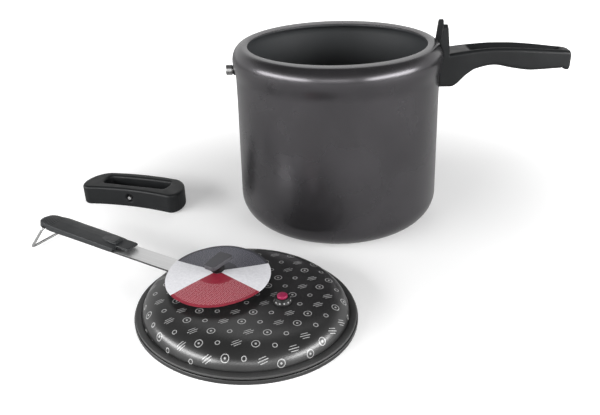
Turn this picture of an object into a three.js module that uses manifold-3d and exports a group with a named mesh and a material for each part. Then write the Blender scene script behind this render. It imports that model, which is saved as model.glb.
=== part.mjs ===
// Inner-lid pressure cooker of about seven litres, laid out as it is sold: the pot stands,
// the lid lies beside it, and the helper handle is still to be screwed on.
// Millimetres, +Z up. The origin is the centre of the pot's base and +X points along its handle.
import * as THREE from "three";
import { mergeVertices } from "three/addons/utils/BufferGeometryUtils.js";
import Module from "manifold-3d";

const wasm = await Module();
wasm.setup();

// Fits
const seatGap = 0.3; // between faceted faces that touch
const slipGap = 0.4; // round a shank or pin in its hole
const over = 1; // how far a cutting body runs past the face it cuts

// Pot
const wallRadius = 110; // of the upright part of the wall
const baseFlare = 2; // how much wider the wall is where the base's corner starts
const flareTop = 138; // level where the wall becomes upright
const potHeight = 196.8; // ridge of the rolled rim
const wallThickness = 2.8;
const floorThickness = 4;
const cornerRadius = 28.5;
const bulgeOut = 2.6; // how far the rim's bulge stands out past the wall
const bulgeDrop = 14.8; // from the ridge down to the bulge's widest level
const bulgeReach = 8; // from the widest level down to the straight wall
const ridgeRadius = 101.3; // the ridge is round, the mouth inside it is oval
const mouthDrop = 1.6; // from the ridge down to the edge of the mouth
const mouthLong = 192; // along the handle, so that the lid passes in sideways
const mouthShort = 178.5;

// Pot handle, its bracket and fasteners
const handleLength = 138.6;
const handleInset = 2.3; // how far the root stands inside the bulge's widest radius
const handleWidth = 35;
const handleDrop = 9.3; // from the top of the pot down to the handle's highest line
const handleFall = 14; // from the highest line down to the upper edge of the tip
const handleDepth = 22.5; // of the part that the hand holds
const handleTaper = 6.5; // how much each side narrows at the tip
const handleCorner = 4;
const troughDepth = 5.5;
const troughRim = 4.6; // wall left on each side of the trough
const troughCorner = 3;
const prongHeight = 18; // above the top of the pot
const prongThickness = 5;
const prongFoot = 7.2;
const prongRoot = 26.8; // how far the prongs reach down into the handle
const prongKink = 8; // below the top of the pot, where the outer edge starts to lean
const prongTip = 5.2;
const prongLean = 0.6; // towards the pot, at the top
const prongEdge = 1.2; // chamfer at the top
const prongSlant = 2.6; // how much lower the top is on the outer side
const hookDepth = 1.4; // notch under the tip where the wire bail catches
const hookWidth = 5;
const hookInset = 8.5; // from the tip to the middle of the notch
const bracketThickness = 2.6;
const bracketWidth = 27;
const bracketHeight = 23.5;
const bracketCorner = 5;
const bracketDrop = 2; // below the bulge
const tongueLength = 20;
const tongueWidth = 9;
const tongueHeight = 11;
const rivetRadius = 2.2;
const rivetHeadRadius = 5;
const rivetHeadHeight = 1.8;
const rivetSpread = 18; // between the two bracket rivets
const screwRadius = 2;
const screwHeadRadius = 4;
const screwHeadHeight = 2.4;
const screwHeadSink = 1; // how deep a screw's head lies below the face round it
const handleScrewInset = 12.6; // from the handle's root

// Helper stud and the loose helper handle
const studRadius = 5.2;
const studShank = 3;
const studEdge = 1;
const studLength = 10.5;
const studDrop = 27.8; // below the top of the pot
const helperLength = 130;
const helperReach = 50;
const helperHeight = 24;
const helperBar = 17; // bar that meets the pot
const helperHollow = 5; // how far the pot-side face is hollowed to clear the wall
const helperGrip = 13; // bar that the fingers go round
const helperFoot = 8; // rounding of the pot-side corners
const helperShoulder = 17; // rounding of the grip's corners
const helperCrown = 3.3; // how far the finger bar bows out in the middle
const helperEdge = 3;
const helperPlace = new THREE.Vector3(-253, 3, 0);
const helperTurn = -16; // degrees about +Z

// Lid, lying on its rim
const lidLong = 210.5; // along the strap
const lidShort = 191.5; // less than mouthLong
const lidHeight = 24;
const lidSheet = 2.4;
const lidFlange = 7.6; // seat for the gasket
const flangeLevel = 3.6;
const crownRadius = 70; // flat middle of the dome
const crownEase = 20; // how gently the crown rolls over into the shoulder
const gasketHeight = 3;
const gasketInset = 1; // from the lid's edge
const gasketEdge = 1;
const lidPlace = new THREE.Vector3(-92.9, -213.4, 0);
const lidTurn = 149; // degrees from +X to the strap

// Strap and its rivets
const strapWidth = 19.6;
const strapThickness = 2;
const strapStart = 3; // from the lid's centre
const strapRivetRadius = 2.3;
const strapRivetHead = 4.5;
const strapRivetPlaces = [13, 46];

// Vent pipe, its washer and nut
const ventPlace = 29; // from the lid's centre, along the strap
const ventRadius = 4.2;
const ventTipRadius = 3.4;
const ventTipLength = 5;
const ventEdge = 1;
const ventBore = 1.6;
const hexRadius = 8.5;
const hexHeight = 8.5;
const washerHeight = 1.3;
const nutHeight = 4.5;

// Paper tag, held on the vent pipe between the hexagon and the weight
const tagRadius = 48.8;
const tagRise = 4.5;
const tagPaper = 0.5;

// Weight: a metal core with a paddle-shaped cap to lift it by
const weightCoreRadius = 6.6;
const weightCoreHeight = 5.5;
const weightSpigot = 2.6;
const weightSpigotHeight = 2.4;
const paddleFar = 15; // from the pipe to the broad end
const paddleNear = 12.5; // from the pipe to the narrow end
const paddleBroad = 15.6;
const paddleNarrow = 12.4;
const paddleCorner = 2.6;
const paddleHeight = 4.4;
const paddleEdge = 1;

// Safety valve
const valvePlace = [-40, -2.5];
const valveSeatRadius = 8.3;
const valveSeatTop = 6.8;
const valveSeatHeight = 5.6;
const valveFlange = 1.5;
const valveEdge = 0.8;
const plugRadius = 4.7;
const plugHeight = 2.8;
const plugSink = 1; // how deep the plug's head sits in its seat
const plugStem = 3;
const plugBulb = 4.6;
const plugEdge = 0.9;

// Lid grip and its screws
const gripStart = 139.5; // from the lid's centre to the tip of the nose
const gripLength = 128.5;
const noseLength = 15;
const noseWidth = 15;
const noseHeight = 3.4;
const noseEdge = 1;
const gripWidth = 29;
const gripTop = 4.3; // above the strap
const gripSkirt = 1.3; // below the strap's upper face
const gripCorner = 2.2;
const gripDroop = 2.4; // how far the top falls at the outer end
const gripTaper = 9; // how much each side narrows at the outer end
const thumbInset = 2.5; // from the step at the nose
const thumbLength = 26;
const thumbWidth = 14;
const thumbRise = 2.6;
const thumbEdge = 1.4;
const strapInset = 18; // from the grip's outer end back to the end of the strap
const gripScrewInsets = [42.5, 90.5]; // from the tip of the nose
const gripScrewDepth = 2.6;

// Wire bail
const wireRadius = 1.3;
const bailPivotInset = 12; // from the end of the grip
const bailPivotRise = 1.1; // above the strap
const bailLeg = 30;
const bailLean = 35; // degrees outwards from hanging straight down
const bailCorner = 4;
const bailPin = 5;
const bailEye = 2.1; // bend where a leg turns into its pin
const bailRelief = 2.6; // flats on the grip beside the bail's eyes
const bailReliefLength = 20;

// Facets
const ringFacets = 48;
const smallFacets = 20;
const pinFacets = 12;
const arcSteps = 5;
const rollSteps = 7; // over the rolled rim

const black = { color: 0x2c2e31, roughness: 0.55, metalness: 0 };
const charcoal = { color: 0x4a494a, roughness: 0.45, metalness: 0.3 };
const rubber = { color: 0x1f2021, roughness: 0.7, metalness: 0 };
const steel = { color: 0xc6c6c4, roughness: 0.35, metalness: 1 };
const aluminium = { color: 0xb4b4b2, roughness: 0.45, metalness: 1 };
const darkMetal = { color: 0x2a2a2c, roughness: 0.5, metalness: 0.8 };
const weightGrey = { color: 0x47464b, roughness: 0.6, metalness: 0 };
const silicone = { color: 0xb01c4a, roughness: 0.5, metalness: 0 };
const paper = { color: 0xdcdce0, roughness: 0.8, metalness: 0 };

// Closed three.js geometry to a solid, with its shared corners merged and empty faces dropped.
function solidFrom(geometry) {
  const bare = geometry.clone();
  bare.deleteAttribute("normal");
  bare.deleteAttribute("uv");
  const merged = mergeVertices(bare, 1e-4);
  const faces = [];
  for (let i = 0; i < merged.index.count; i += 3) {
    const corners = [0, 1, 2].map((k) => merged.index.getX(i + k));
    if (new Set(corners).size === 3) faces.push(...corners);
  }
  const vertProperties = new Float32Array(merged.attributes.position.array);
  const triVerts = new Uint32Array(faces);
  return new wasm.Manifold(new wasm.Mesh({ numProp: 3, vertProperties, triVerts }));
}

function geometryFrom(solid) {
  const mesh = solid.getMesh();
  const geometry = new THREE.BufferGeometry();
  geometry.setAttribute("position", new THREE.BufferAttribute(mesh.vertProperties, 3));
  geometry.setIndex(new THREE.BufferAttribute(mesh.triVerts, 1));
  geometry.computeVertexNormals();
  return geometry;
}

// One geometry with others added to it and then others taken away.
function shaped(base, { add = [], cut = [] }) {
  let solid = solidFrom(base);
  for (const piece of add) solid = wasm.Manifold.union(solid, solidFrom(piece));
  for (const piece of cut) solid = wasm.Manifold.difference(solid, solidFrom(piece));
  return geometryFrom(solid);
}

function shared(first, second) {
  return geometryFrom(wasm.Manifold.intersection(solidFrom(first), solidFrom(second)));
}

// A profile of [radius, level] points turned about +Z. It runs counter-clockwise in (r, z).
function turned(profile, facets = ringFacets) {
  const points = profile.map(([radius, level]) => new THREE.Vector2(radius, level));
  return new THREE.LatheGeometry(points, facets).rotateX(Math.PI / 2);
}

// Ring of a rectangular section: inner and outer radius, low and high level.
function ring(inner, outer, low, high, facets = ringFacets) {
  const profile = [
    [inner, low],
    [outer, low],
    [outer, high],
    [inner, high],
    [inner, low],
  ];
  return turned(profile, facets);
}

// Points of an elliptical arc in (r, z), with both ends. Angles in degrees.
function arc(centreR, centreZ, radiusR, radiusZ, from, to, steps = arcSteps) {
  const points = [];
  for (let i = 0; i <= steps; i += 1) {
    const angle = THREE.MathUtils.degToRad(from + ((to - from) * i) / steps);
    points.push([centreR + radiusR * Math.cos(angle), centreZ + radiusZ * Math.sin(angle)]);
  }
  return points;
}

// How far out a flat disc can sit inside a faceted round wall.
function flatInside(radius, half) {
  return Math.sqrt((radius * Math.cos(Math.PI / ringFacets)) ** 2 - half ** 2);
}

// Upright cylinder between two levels, at a place in plan.
function post(radius, low, high, [x, y] = [0, 0], facets = pinFacets) {
  const geometry = new THREE.CylinderGeometry(radius, radius, high - low, facets);
  return geometry.rotateX(Math.PI / 2).translate(x, y, (low + high) / 2);
}

// Cylinder along +X between two distances from the axis.
function bar(radius, from, to, facets = pinFacets) {
  const geometry = new THREE.CylinderGeometry(radius, radius, to - from, facets);
  return geometry.rotateZ(-Math.PI / 2).translate((from + to) / 2, 0, 0);
}

function block(low, high) {
  const size = high.map((value, i) => value - low[i]);
  const middle = high.map((value, i) => (value + low[i]) / 2);
  return new THREE.BoxGeometry(...size).translate(...middle);
}

// Smooth curve through one key of a row of stations, with no overshoot between them.
function smooth(stations, key, at) {
  const last = stations.length - 1;
  const slopes = [];
  for (let i = 0; i < last; i += 1) {
    slopes.push((stations[i + 1][key] - stations[i][key]) / (stations[i + 1].at - stations[i].at));
  }
  const tangent = (i) => {
    if (i === 0) return slopes[0];
    if (i === last) return slopes[last - 1];
    const product = slopes[i - 1] * slopes[i];
    return product > 0 ? (2 * product) / (slopes[i - 1] + slopes[i]) : 0;
  };
  let i = 0;
  while (i < last - 1 && stations[i + 1].at < at) i += 1;
  const span = stations[i + 1].at - stations[i].at;
  const t = (at - stations[i].at) / span;
  const start = stations[i][key] * (1 + 2 * t) * (1 - t) ** 2;
  const end = stations[i + 1][key] * t * t * (3 - 2 * t);
  const leave = span * tangent(i) * t * (1 - t) ** 2;
  const arrive = span * tangent(i + 1) * t * t * (t - 1);
  return start + end + leave + arrive;
}

// Rounded rectangle in (y, z), counter-clockwise seen from +X.
function roundedSection(half, bottom, top, corner) {
  const radius = Math.min(corner, half * 0.98, (top - bottom) * 0.49);
  const corners = [
    [half - radius, bottom + radius, -90],
    [half - radius, top - radius, 0],
    [radius - half, top - radius, 90],
    [radius - half, bottom + radius, 180],
  ];
  return corners.flatMap(([y, z, from]) => arc(y, z, radius, radius, from, from + 90, 2));
}

// Body lofted along +X through stations of half width, bottom and top, closed at both ends.
function loft(stations, rings, corner) {
  const first = stations[0].at;
  const last = stations[stations.length - 1].at;
  const positions = [];
  const faces = [];
  let count = 0;
  for (let i = 0; i < rings; i += 1) {
    const at = first + ((last - first) * i) / (rings - 1);
    const [half, bottom, top] = ["half", "bottom", "top"].map((key) => smooth(stations, key, at));
    const section = roundedSection(half, bottom, top, corner);
    count = section.length;
    for (const [y, z] of section) positions.push(at, y, z);
  }
  for (let i = 0; i < rings - 1; i += 1) {
    for (let j = 0; j < count; j += 1) {
      const a = i * count + j;
      const b = i * count + ((j + 1) % count);
      faces.push(a, b, a + count, b, b + count, a + count);
    }
  }
  const end = (rings - 1) * count;
  for (let j = 1; j < count - 1; j += 1) {
    faces.push(0, j + 1, j);
    faces.push(end, end + j, end + j + 1);
  }
  const geometry = new THREE.BufferGeometry();
  geometry.setAttribute("position", new THREE.Float32BufferAttribute(positions, 3));
  geometry.setIndex(faces);
  return geometry;
}

function piece(name, geometry, finish, group) {
  const mesh = new THREE.Mesh(geometry, new THREE.MeshStandardMaterial(finish));
  mesh.name = name;
  group.add(mesh);
}

const cooker = new THREE.Group();

// Pot levels and radii that other pieces use
const bulgeRadius = wallRadius + bulgeOut;
const bulgeLevel = potHeight - bulgeDrop;
const bulgeFoot = bulgeLevel - bulgeReach;
const rollReach = bulgeRadius - ridgeRadius;
const innerRadius = wallRadius - wallThickness;
const baseRadius = wallRadius + baseFlare;

// Half of the swelling from the straight wall to the bulge's widest level, in (r, z).
function swelling(radius, out, steps = 4) {
  const points = [];
  for (let i = 0; i <= steps; i += 1) {
    const share = i / steps;
    const level = bulgeFoot + bulgeReach * share;
    points.push([radius + (out * (1 - Math.cos(Math.PI * share))) / 2, level]);
  }
  return points;
}

// From the round ridge to its edge the mouth narrows across the handle.
function makeOval(geometry) {
  const position = geometry.attributes.position;
  const squeeze = mouthShort / mouthLong - 1;
  for (let i = 0; i < position.count; i += 1) {
    const radius = Math.hypot(position.getX(i), position.getY(i));
    const share = (ridgeRadius - radius) / (ridgeRadius - mouthLong / 2);
    const oval = position.getZ(i) > bulgeLevel ? THREE.MathUtils.clamp(share, 0, 1) : 0;
    position.setY(i, position.getY(i) * (1 + squeeze * oval));
  }
  return geometry;
}

function potShell() {
  const mouthRadius = mouthLong / 2;
  const mouthLevel = potHeight - mouthDrop;
  const innerCorner = cornerRadius - wallThickness;
  const outside = [
    [0, 0],
    ...arc(baseRadius - cornerRadius, cornerRadius, cornerRadius, cornerRadius, -90, 0),
    [wallRadius, flareTop],
    ...swelling(wallRadius, bulgeOut),
    ...arc(ridgeRadius, bulgeLevel, rollReach, bulgeDrop, 0, 90, rollSteps).slice(1),
    ...arc(ridgeRadius, mouthLevel, ridgeRadius - mouthRadius, mouthDrop, 90, 180, 4).slice(1),
  ];
  const inside = [
    [mouthRadius, mouthLevel - wallThickness],
    ...arc(
      ridgeRadius,
      bulgeLevel,
      rollReach - wallThickness,
      bulgeDrop - wallThickness,
      90,
      0,
    ),
    ...swelling(innerRadius, bulgeOut).reverse().slice(1),
    [innerRadius, flareTop],
    ...arc(
      baseRadius - cornerRadius,
      floorThickness + innerCorner,
      innerCorner,
      innerCorner,
      0,
      -90,
    ),
    [0, floorThickness],
  ];
  return makeOval(turned([...outside, ...inside]));
}

// Bracket on the wall under the bulge, in the handle's direction
const bracketInner = wallRadius + seatGap;
const bracketOuter = bracketInner + bracketThickness;
const bracketTop = bulgeFoot - bracketDrop;
const bracketMiddle = bracketTop - bracketHeight / 2;
const rivetTurns = { left: 1, right: -1 };

// Geometry made along +X at the rivet level, turned to one of the two rivets.
function atRivet(geometry, side) {
  const turn = (rivetTurns[side] * rivetSpread) / 2 / bracketOuter;
  return geometry.translate(0, 0, bracketMiddle).rotateZ(turn);
}

const rivetHoles = () =>
  Object.keys(rivetTurns).map((side) =>
    atRivet(bar(rivetRadius + slipGap, innerRadius - wallThickness, bracketOuter + over), side),
  );

function bracket() {
  const corner = bracketCorner;
  const outline = new THREE.Shape();
  const halfWidth = bracketWidth / 2;
  const halfHeight = bracketHeight / 2;
  outline.moveTo(-halfHeight + corner, -halfWidth);
  outline.lineTo(halfHeight, -halfWidth);
  outline.lineTo(halfHeight, halfWidth);
  outline.lineTo(-halfHeight + corner, halfWidth);
  outline.absarc(-halfHeight + corner, halfWidth - corner, corner, Math.PI / 2, Math.PI, false);
  outline.absarc(-halfHeight + corner, corner - halfWidth, corner, Math.PI, Math.PI * 1.5, false);
  const blank = new THREE.ExtrudeGeometry(outline, {
    depth: bracketOuter + over,
    bevelEnabled: false,
    curveSegments: 5,
  });
  blank.rotateY(Math.PI / 2).rotateX(Math.PI).translate(0, 0, bracketMiddle);
  const low = bracketTop - bracketHeight;
  const skin = ring(bracketInner, bracketOuter, low - over, bracketTop + over);
  const tongue = block(
    [bracketInner, -tongueWidth / 2, bracketMiddle - tongueHeight / 2],
    [bracketOuter + tongueLength, tongueWidth / 2, bracketMiddle + tongueHeight / 2],
  );
  return shaped(shared(blank, skin), { add: [tongue], cut: [...rivetHoles(), screwHole()] });
}

// Domed head inside the pot, shank through wall and bracket, end flush with the bracket.
function bracketRivet() {
  const seat = flatInside(innerRadius, rivetHeadRadius) - seatGap;
  const profile = [
    [0, seat - rivetHeadHeight],
    ...arc(0, seat, rivetHeadRadius, rivetHeadHeight, -90, 0, 3).slice(1),
    [rivetRadius, seat],
    [rivetRadius, bracketOuter],
    [0, bracketOuter],
  ];
  return turned(profile, pinFacets).rotateY(Math.PI / 2);
}

// Pot handle, moulded in one piece with the fork that guides the strap
const handleRoot = bulgeRadius - handleInset;
const handleFloor = bracketTop - bracketHeight - seatGap;
const handleScrewX = handleRoot + handleScrewInset;
const screwSeat = handleFloor + screwHeadHeight + screwHeadSink;
const screwTip = bracketMiddle + tongueHeight / 2 - over;

const screwHole = () =>
  post(screwRadius + slipGap, handleFloor - over, screwTip + over, [handleScrewX, 0]);

// Side view of the handle, in shares of its length, fall, depth and taper.
function handleStations() {
  const top = potHeight - handleDrop;
  const row = (share, fall, depth, narrow) => ({
    at: handleRoot + share * handleLength,
    top: top - fall * handleFall,
    bottom: Math.max(top - depth * handleDepth, handleFloor),
    half: handleWidth / 2 - narrow * handleTaper,
  });
  return [
    row(-0.011, 0.36, 1.75, 0),
    row(0.083, 0.12, 1.75, 0),
    row(0.112, 0.08, 1.67, 0),
    row(0.19, 0.02, 1.22, 0.09),
    row(0.267, 0, 0.89, 0.2),
    row(0.401, 0.03, 0.72, 0.28),
    row(0.551, 0.1, 0.89, 0.2),
    row(0.706, 0.25, 1, 0.14),
    row(0.902, 0.52, 0.95, 0.22),
    row(0.961, 0.64, 0.96, 0.4),
    row(0.987, 0.74, 1.06, 0.62),
    row(1, 0.92, 1.02, 1),
  ];
}

// One blade of the fork, on the side +1 or -1. Its top slants down to the outer side.
function prong(side) {
  const half = handleWidth / 2;
  const foot = potHeight - prongRoot;
  const tipStart = handleRoot - prongLean;
  const outline = (y, tip) => [
    [handleRoot, y, foot],
    [handleRoot + prongFoot, y, foot],
    [handleRoot + prongFoot, y, potHeight - prongKink],
    [tipStart + prongTip, y, tip - prongEdge],
    [tipStart + prongTip - prongEdge, y, tip],
    [tipStart, y, tip],
  ];
  const high = potHeight + prongHeight;
  const inner = outline(side * (half - prongThickness), high);
  const outer = outline(side * half, high - prongSlant);
  return geometryFrom(wasm.Manifold.hull([...inner, ...outer]));
}

// What the handle keeps clear of: the pot's outside, and the bracket under the bulge.
function handleClearance() {
  const wall = wallRadius + seatGap;
  const reach = rollReach + seatGap;
  const rise = bulgeDrop + seatGap;
  const room = bracketWidth / 2 + seatGap;
  const pot = turned([
    [0, 0],
    [wall, 0],
    ...swelling(wall, bulgeOut),
    ...arc(ridgeRadius, bulgeLevel, reach, rise, 0, 90, rollSteps).slice(1),
    [0, potHeight + seatGap],
  ]);
  const slot = block([0, -room, handleFloor - over], [handleRoot * 2, room, bracketTop + seatGap]);
  return [pot, shared(slot, post(bracketOuter + seatGap, 0, potHeight, [0, 0], ringFacets))];
}

function potHandle() {
  const stations = handleStations();
  const blank = loft(stations, 26, handleCorner);
  const troughHalf = handleWidth / 2 - troughRim;
  const trough = [0.107, 0.137, 0.313, 0.608, 0.863, 0.922, 0.941].map((share, i, shares) => {
    const at = handleRoot + share * handleLength;
    const top = smooth(stations, "top", at);
    const fromEnd = Math.min(i, shares.length - 1 - i);
    const open = [0.35, 0.85, 1, 1][fromEnd];
    const waist = handleWidth / 2 - smooth(stations, "half", at);
    return {
      at,
      top: top + troughDepth,
      bottom: top - troughDepth * open,
      half: troughHalf * open - waist,
    };
  });
  const tip = handleRoot + handleLength;
  const hookLevel = smooth(stations, "bottom", tip - hookInset);
  const hook = bar(hookDepth, -handleWidth, handleWidth).scale(1, hookWidth / hookDepth / 2, 1);
  hook.rotateZ(Math.PI / 2).translate(tip - hookInset, 0, hookLevel);
  const pocket = block(
    [0, -tongueWidth / 2 - seatGap, bracketMiddle - tongueHeight / 2 - seatGap],
    [
      bracketOuter + tongueLength + seatGap,
      tongueWidth / 2 + seatGap,
      bracketMiddle + tongueHeight / 2 + seatGap,
    ],
  );
  const headRoom = screwHeadRadius + slipGap;
  const counterbore = post(headRoom, handleFloor - over, screwSeat, [handleScrewX, 0]);
  const holes = [hook, pocket, screwHole(), counterbore];
  return shaped(blank, {
    add: [prong(1), prong(-1)],
    cut: [loft(trough, 16, troughCorner), ...holes, ...handleClearance()],
  });
}

function handleScrew() {
  const profile = [
    [0, screwSeat - seatGap - screwHeadHeight],
    [screwHeadRadius, screwSeat - seatGap - screwHeadHeight],
    [screwHeadRadius, screwSeat - seatGap],
    [screwRadius, screwSeat - seatGap],
    [screwRadius, screwTip],
    [0, screwTip],
  ];
  return turned(profile, pinFacets).translate(handleScrewX, 0, 0);
}

// Stud for the helper handle, riveted through the wall opposite the handle
const studLevel = potHeight - studDrop;

function helperStud() {
  const seat = flatInside(innerRadius, rivetHeadRadius) - seatGap;
  const face = wallRadius + seatGap;
  const profile = [
    [0, seat - rivetHeadHeight],
    ...arc(0, seat, rivetHeadRadius, rivetHeadHeight, -90, 0, 3).slice(1),
    [studShank, seat],
    [studShank, face],
    [studRadius, face],
    [studRadius, wallRadius + studLength - studEdge],
    [studRadius - studEdge, wallRadius + studLength],
    [0, wallRadius + studLength],
  ];
  return turned(profile, pinFacets).rotateY(-Math.PI / 2).translate(0, 0, studLevel);
}

const studHole = () =>
  bar(studShank + slipGap, innerRadius - wallThickness, wallRadius + wallThickness)
    .rotateZ(Math.PI)
    .translate(0, 0, studLevel);

piece("pot_body", shaped(potShell(), { cut: [...rivetHoles(), studHole()] }), charcoal, cooker);
piece("pot_handle", potHandle(), black, cooker);
piece("handle_bracket", bracket(), charcoal, cooker);
piece("bracket_rivet_left", atRivet(bracketRivet(), "left"), aluminium, cooker);
piece("bracket_rivet_right", atRivet(bracketRivet(), "right"), aluminium, cooker);
piece("handle_screw", handleScrew(), steel, cooker);
piece("helper_stud", helperStud(), steel, cooker);

// Loose helper handle: a D-shaped loop with a socket for the stud and a screw through it
const helper = new THREE.Group();
helper.position.copy(helperPlace);
helper.rotation.z = THREE.MathUtils.degToRad(helperTurn);
cooker.add(helper);
const helperMiddle = helperHeight / 2;
const helperHeadSink = screwHeadHeight + screwHeadSink;

function helperLoop() {
  const half = helperLength / 2 - helperEdge;
  const reach = helperReach - helperEdge;
  const foot = half - helperFoot;
  const swell = half + helperFoot / 2;
  const shoulder = half - helperShoulder;
  const shoulderLevel = reach - helperCrown;
  const turnLevel = helperBar + 2 * helperEdge + helperGrip;
  const shape = new THREE.Shape();
  shape.moveTo(-foot, helperEdge);
  shape.quadraticCurveTo(0, helperEdge + 2 * helperHollow, foot, helperEdge);
  shape.bezierCurveTo(swell, helperEdge, swell, turnLevel, shoulder, shoulderLevel);
  shape.quadraticCurveTo(0, reach + helperCrown, -shoulder, shoulderLevel);
  shape.bezierCurveTo(-swell, turnLevel, -swell, helperEdge, -foot, helperEdge);
  const gapHalf = half - helperGrip - helperEdge;
  const gapStart = helperBar - helperEdge;
  const gapEnd = helperReach - helperGrip + helperEdge;
  const gapMiddle = (gapStart + gapEnd) / 2;
  const gapCorner = (gapEnd - gapStart) / 3;
  const gap = new THREE.Path();
  gap.moveTo(gapCorner - gapHalf, gapStart);
  gap.quadraticCurveTo(-gapHalf, gapStart, -gapHalf, gapMiddle);
  gap.quadraticCurveTo(-gapHalf, gapEnd, gapCorner - gapHalf, gapEnd);
  gap.quadraticCurveTo(0, gapEnd + helperEdge, gapHalf - gapCorner, gapEnd);
  gap.quadraticCurveTo(gapHalf, gapEnd, gapHalf, gapMiddle);
  gap.quadraticCurveTo(gapHalf, gapStart, gapHalf - gapCorner, gapStart);
  shape.holes.push(gap);
  return new THREE.ExtrudeGeometry(shape, {
    depth: helperHeight - 2 * helperEdge,
    bevelThickness: helperEdge,
    bevelSize: helperEdge,
    bevelSegments: 2,
    curveSegments: 6,
  }).translate(0, 0, helperEdge);
}

// Cylinder along +Y through the middle of the helper handle's pot-side bar.
const alongHelper = (radius, from, to) =>
  bar(radius, from, to)
    .rotateZ(Math.PI / 2)
    .translate(0, 0, helperMiddle);

function helperHandle() {
  const back = helperBar + helperEdge;
  const socket = alongHelper(studRadius + slipGap, 0, studLength);
  const hole = alongHelper(screwRadius + slipGap, helperHollow, back);
  const sink = alongHelper(screwHeadRadius + slipGap, helperBar - helperHeadSink, back);
  return shaped(helperLoop(), { cut: [socket, hole, sink] });
}

function helperScrew() {
  const seat = helperBar - helperHeadSink + seatGap;
  const profile = [
    [0, helperHollow],
    [screwRadius, helperHollow],
    [screwRadius, seat],
    [screwHeadRadius, seat],
    [screwHeadRadius, seat + screwHeadHeight],
    [0, seat + screwHeadHeight],
  ];
  return turned(profile, pinFacets).rotateX(-Math.PI / 2).translate(0, 0, helperMiddle);
}

piece("helper_handle", helperHandle(), black, helper);
piece("helper_screw", helperScrew(), steel, helper);

// Lid and what is fixed to it, made along +X from the lid's centre
const lid = new THREE.Group();
lid.position.copy(lidPlace);
lid.rotation.z = THREE.MathUtils.degToRad(lidTurn);
cooker.add(lid);
const lidRadius = lidLong / 2;
const domeRadius = lidRadius - lidFlange;
const lidUnderside = lidHeight - lidSheet;
const strapLow = lidHeight + seatGap;
const strapHigh = strapLow + strapThickness;
const ventAt = [ventPlace, 0];
const oval = (geometry) => geometry.scale(1, lidShort / lidLong, 1);

// Shoulder of the dome from its flat crown to the flange, in (r, z), a thickness inside it.
function domeShoulder(inside, foot) {
  const curve = new THREE.CubicBezierCurve(
    new THREE.Vector2(crownRadius, lidHeight - inside),
    new THREE.Vector2(crownRadius + crownEase - inside, lidHeight - inside),
    new THREE.Vector2(domeRadius - inside, lidHeight - inside),
    new THREE.Vector2(domeRadius - inside, foot),
  );
  return curve.getPoints(6).map((point) => [point.x, point.y]);
}

function lidShell() {
  const bead = lidFlange / 5;
  const underFlange = flangeLevel - lidSheet;
  const profile = [
    [0, lidUnderside],
    ...domeShoulder(lidSheet, underFlange),
    [lidRadius - bead, underFlange],
    [lidRadius - bead, 0],
    ...arc(lidRadius - bead / 2, bead / 2, bead / 2, bead / 2, -90, 0, 3),
    ...arc(lidRadius - bead / 2, flangeLevel, bead / 2, bead / 2, 0, 180, 4),
    ...domeShoulder(0, flangeLevel).reverse(),
    [0, lidHeight],
  ];
  const drilled = (radius, place) => post(radius + slipGap, 0, lidHeight + over, place);
  const holes = [
    drilled(ventRadius, ventAt),
    drilled(plugStem, valvePlace),
    ...strapRivetPlaces.map((x) => drilled(strapRivetRadius, [x, 0])),
  ];
  return shaped(oval(turned(profile)), { cut: holes });
}

// Rubber ring on the lid's flange, under the pot's lip when the lid is pulled up.
function gasket() {
  const inner = domeRadius + seatGap;
  const outer = lidRadius - gasketInset;
  const low = flangeLevel + lidFlange / 10 + seatGap;
  const round = gasketHeight / 2;
  const profile = [
    [inner, low],
    ...arc(outer - round, low + round, round, round, -90, 90, 5),
    ...arc(inner + gasketEdge, low + gasketHeight - gasketEdge, gasketEdge, gasketEdge, 90, 180, 2),
    [inner, low],
  ];
  return oval(turned(profile));
}

function strap() {
  const half = strapWidth / 2;
  const shape = new THREE.Shape();
  shape.moveTo(strapEnd, -half);
  shape.lineTo(strapEnd, half);
  shape.lineTo(strapStart + half, half);
  shape.absarc(strapStart + half, 0, half, Math.PI / 2, Math.PI * 1.5, false);
  shape.closePath();
  const plate = new THREE.ExtrudeGeometry(shape, {
    depth: strapThickness,
    bevelEnabled: false,
    curveSegments: 8,
  }).translate(0, 0, strapLow);
  const through = (radius, place) =>
    post(radius + slipGap, strapLow - over, strapHigh + over, place);
  const holes = [
    through(ventRadius, ventAt),
    ...strapRivetPlaces.map((x) => through(strapRivetRadius, [x, 0])),
    ...gripScrewPlaces.map((x) => through(screwRadius, [x, 0])),
  ];
  return shaped(plate, { cut: holes });
}

function strapRivet(x) {
  const low = lidUnderside - seatGap;
  const high = strapHigh + seatGap;
  const profile = [
    [0, low - rivetHeadHeight],
    [strapRivetHead, low - rivetHeadHeight],
    [strapRivetHead, low],
    [strapRivetRadius, low],
    [strapRivetRadius, high],
    ...arc(0, high, strapRivetHead, rivetHeadHeight, 0, 90, 3),
  ];
  return turned(profile, pinFacets).translate(x, 0, 0);
}

// Vent pipe with a tall hexagon, clamped through strap and lid by washer and nut
const hexLow = strapHigh + seatGap;
const hexHigh = hexLow + hexHeight;
const nutLow = lidUnderside - seatGap - washerHeight - seatGap - nutHeight;
const tagSlope = tagRise / (tagRadius - ventRadius - slipGap);
const tagHigh = hexHigh + seatGap + tagPaper + tagSlope * (hexRadius - ventRadius);
const ventNeck = tagHigh + seatGap;
const ventTip = ventNeck + ventEdge + ventTipLength;

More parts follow.
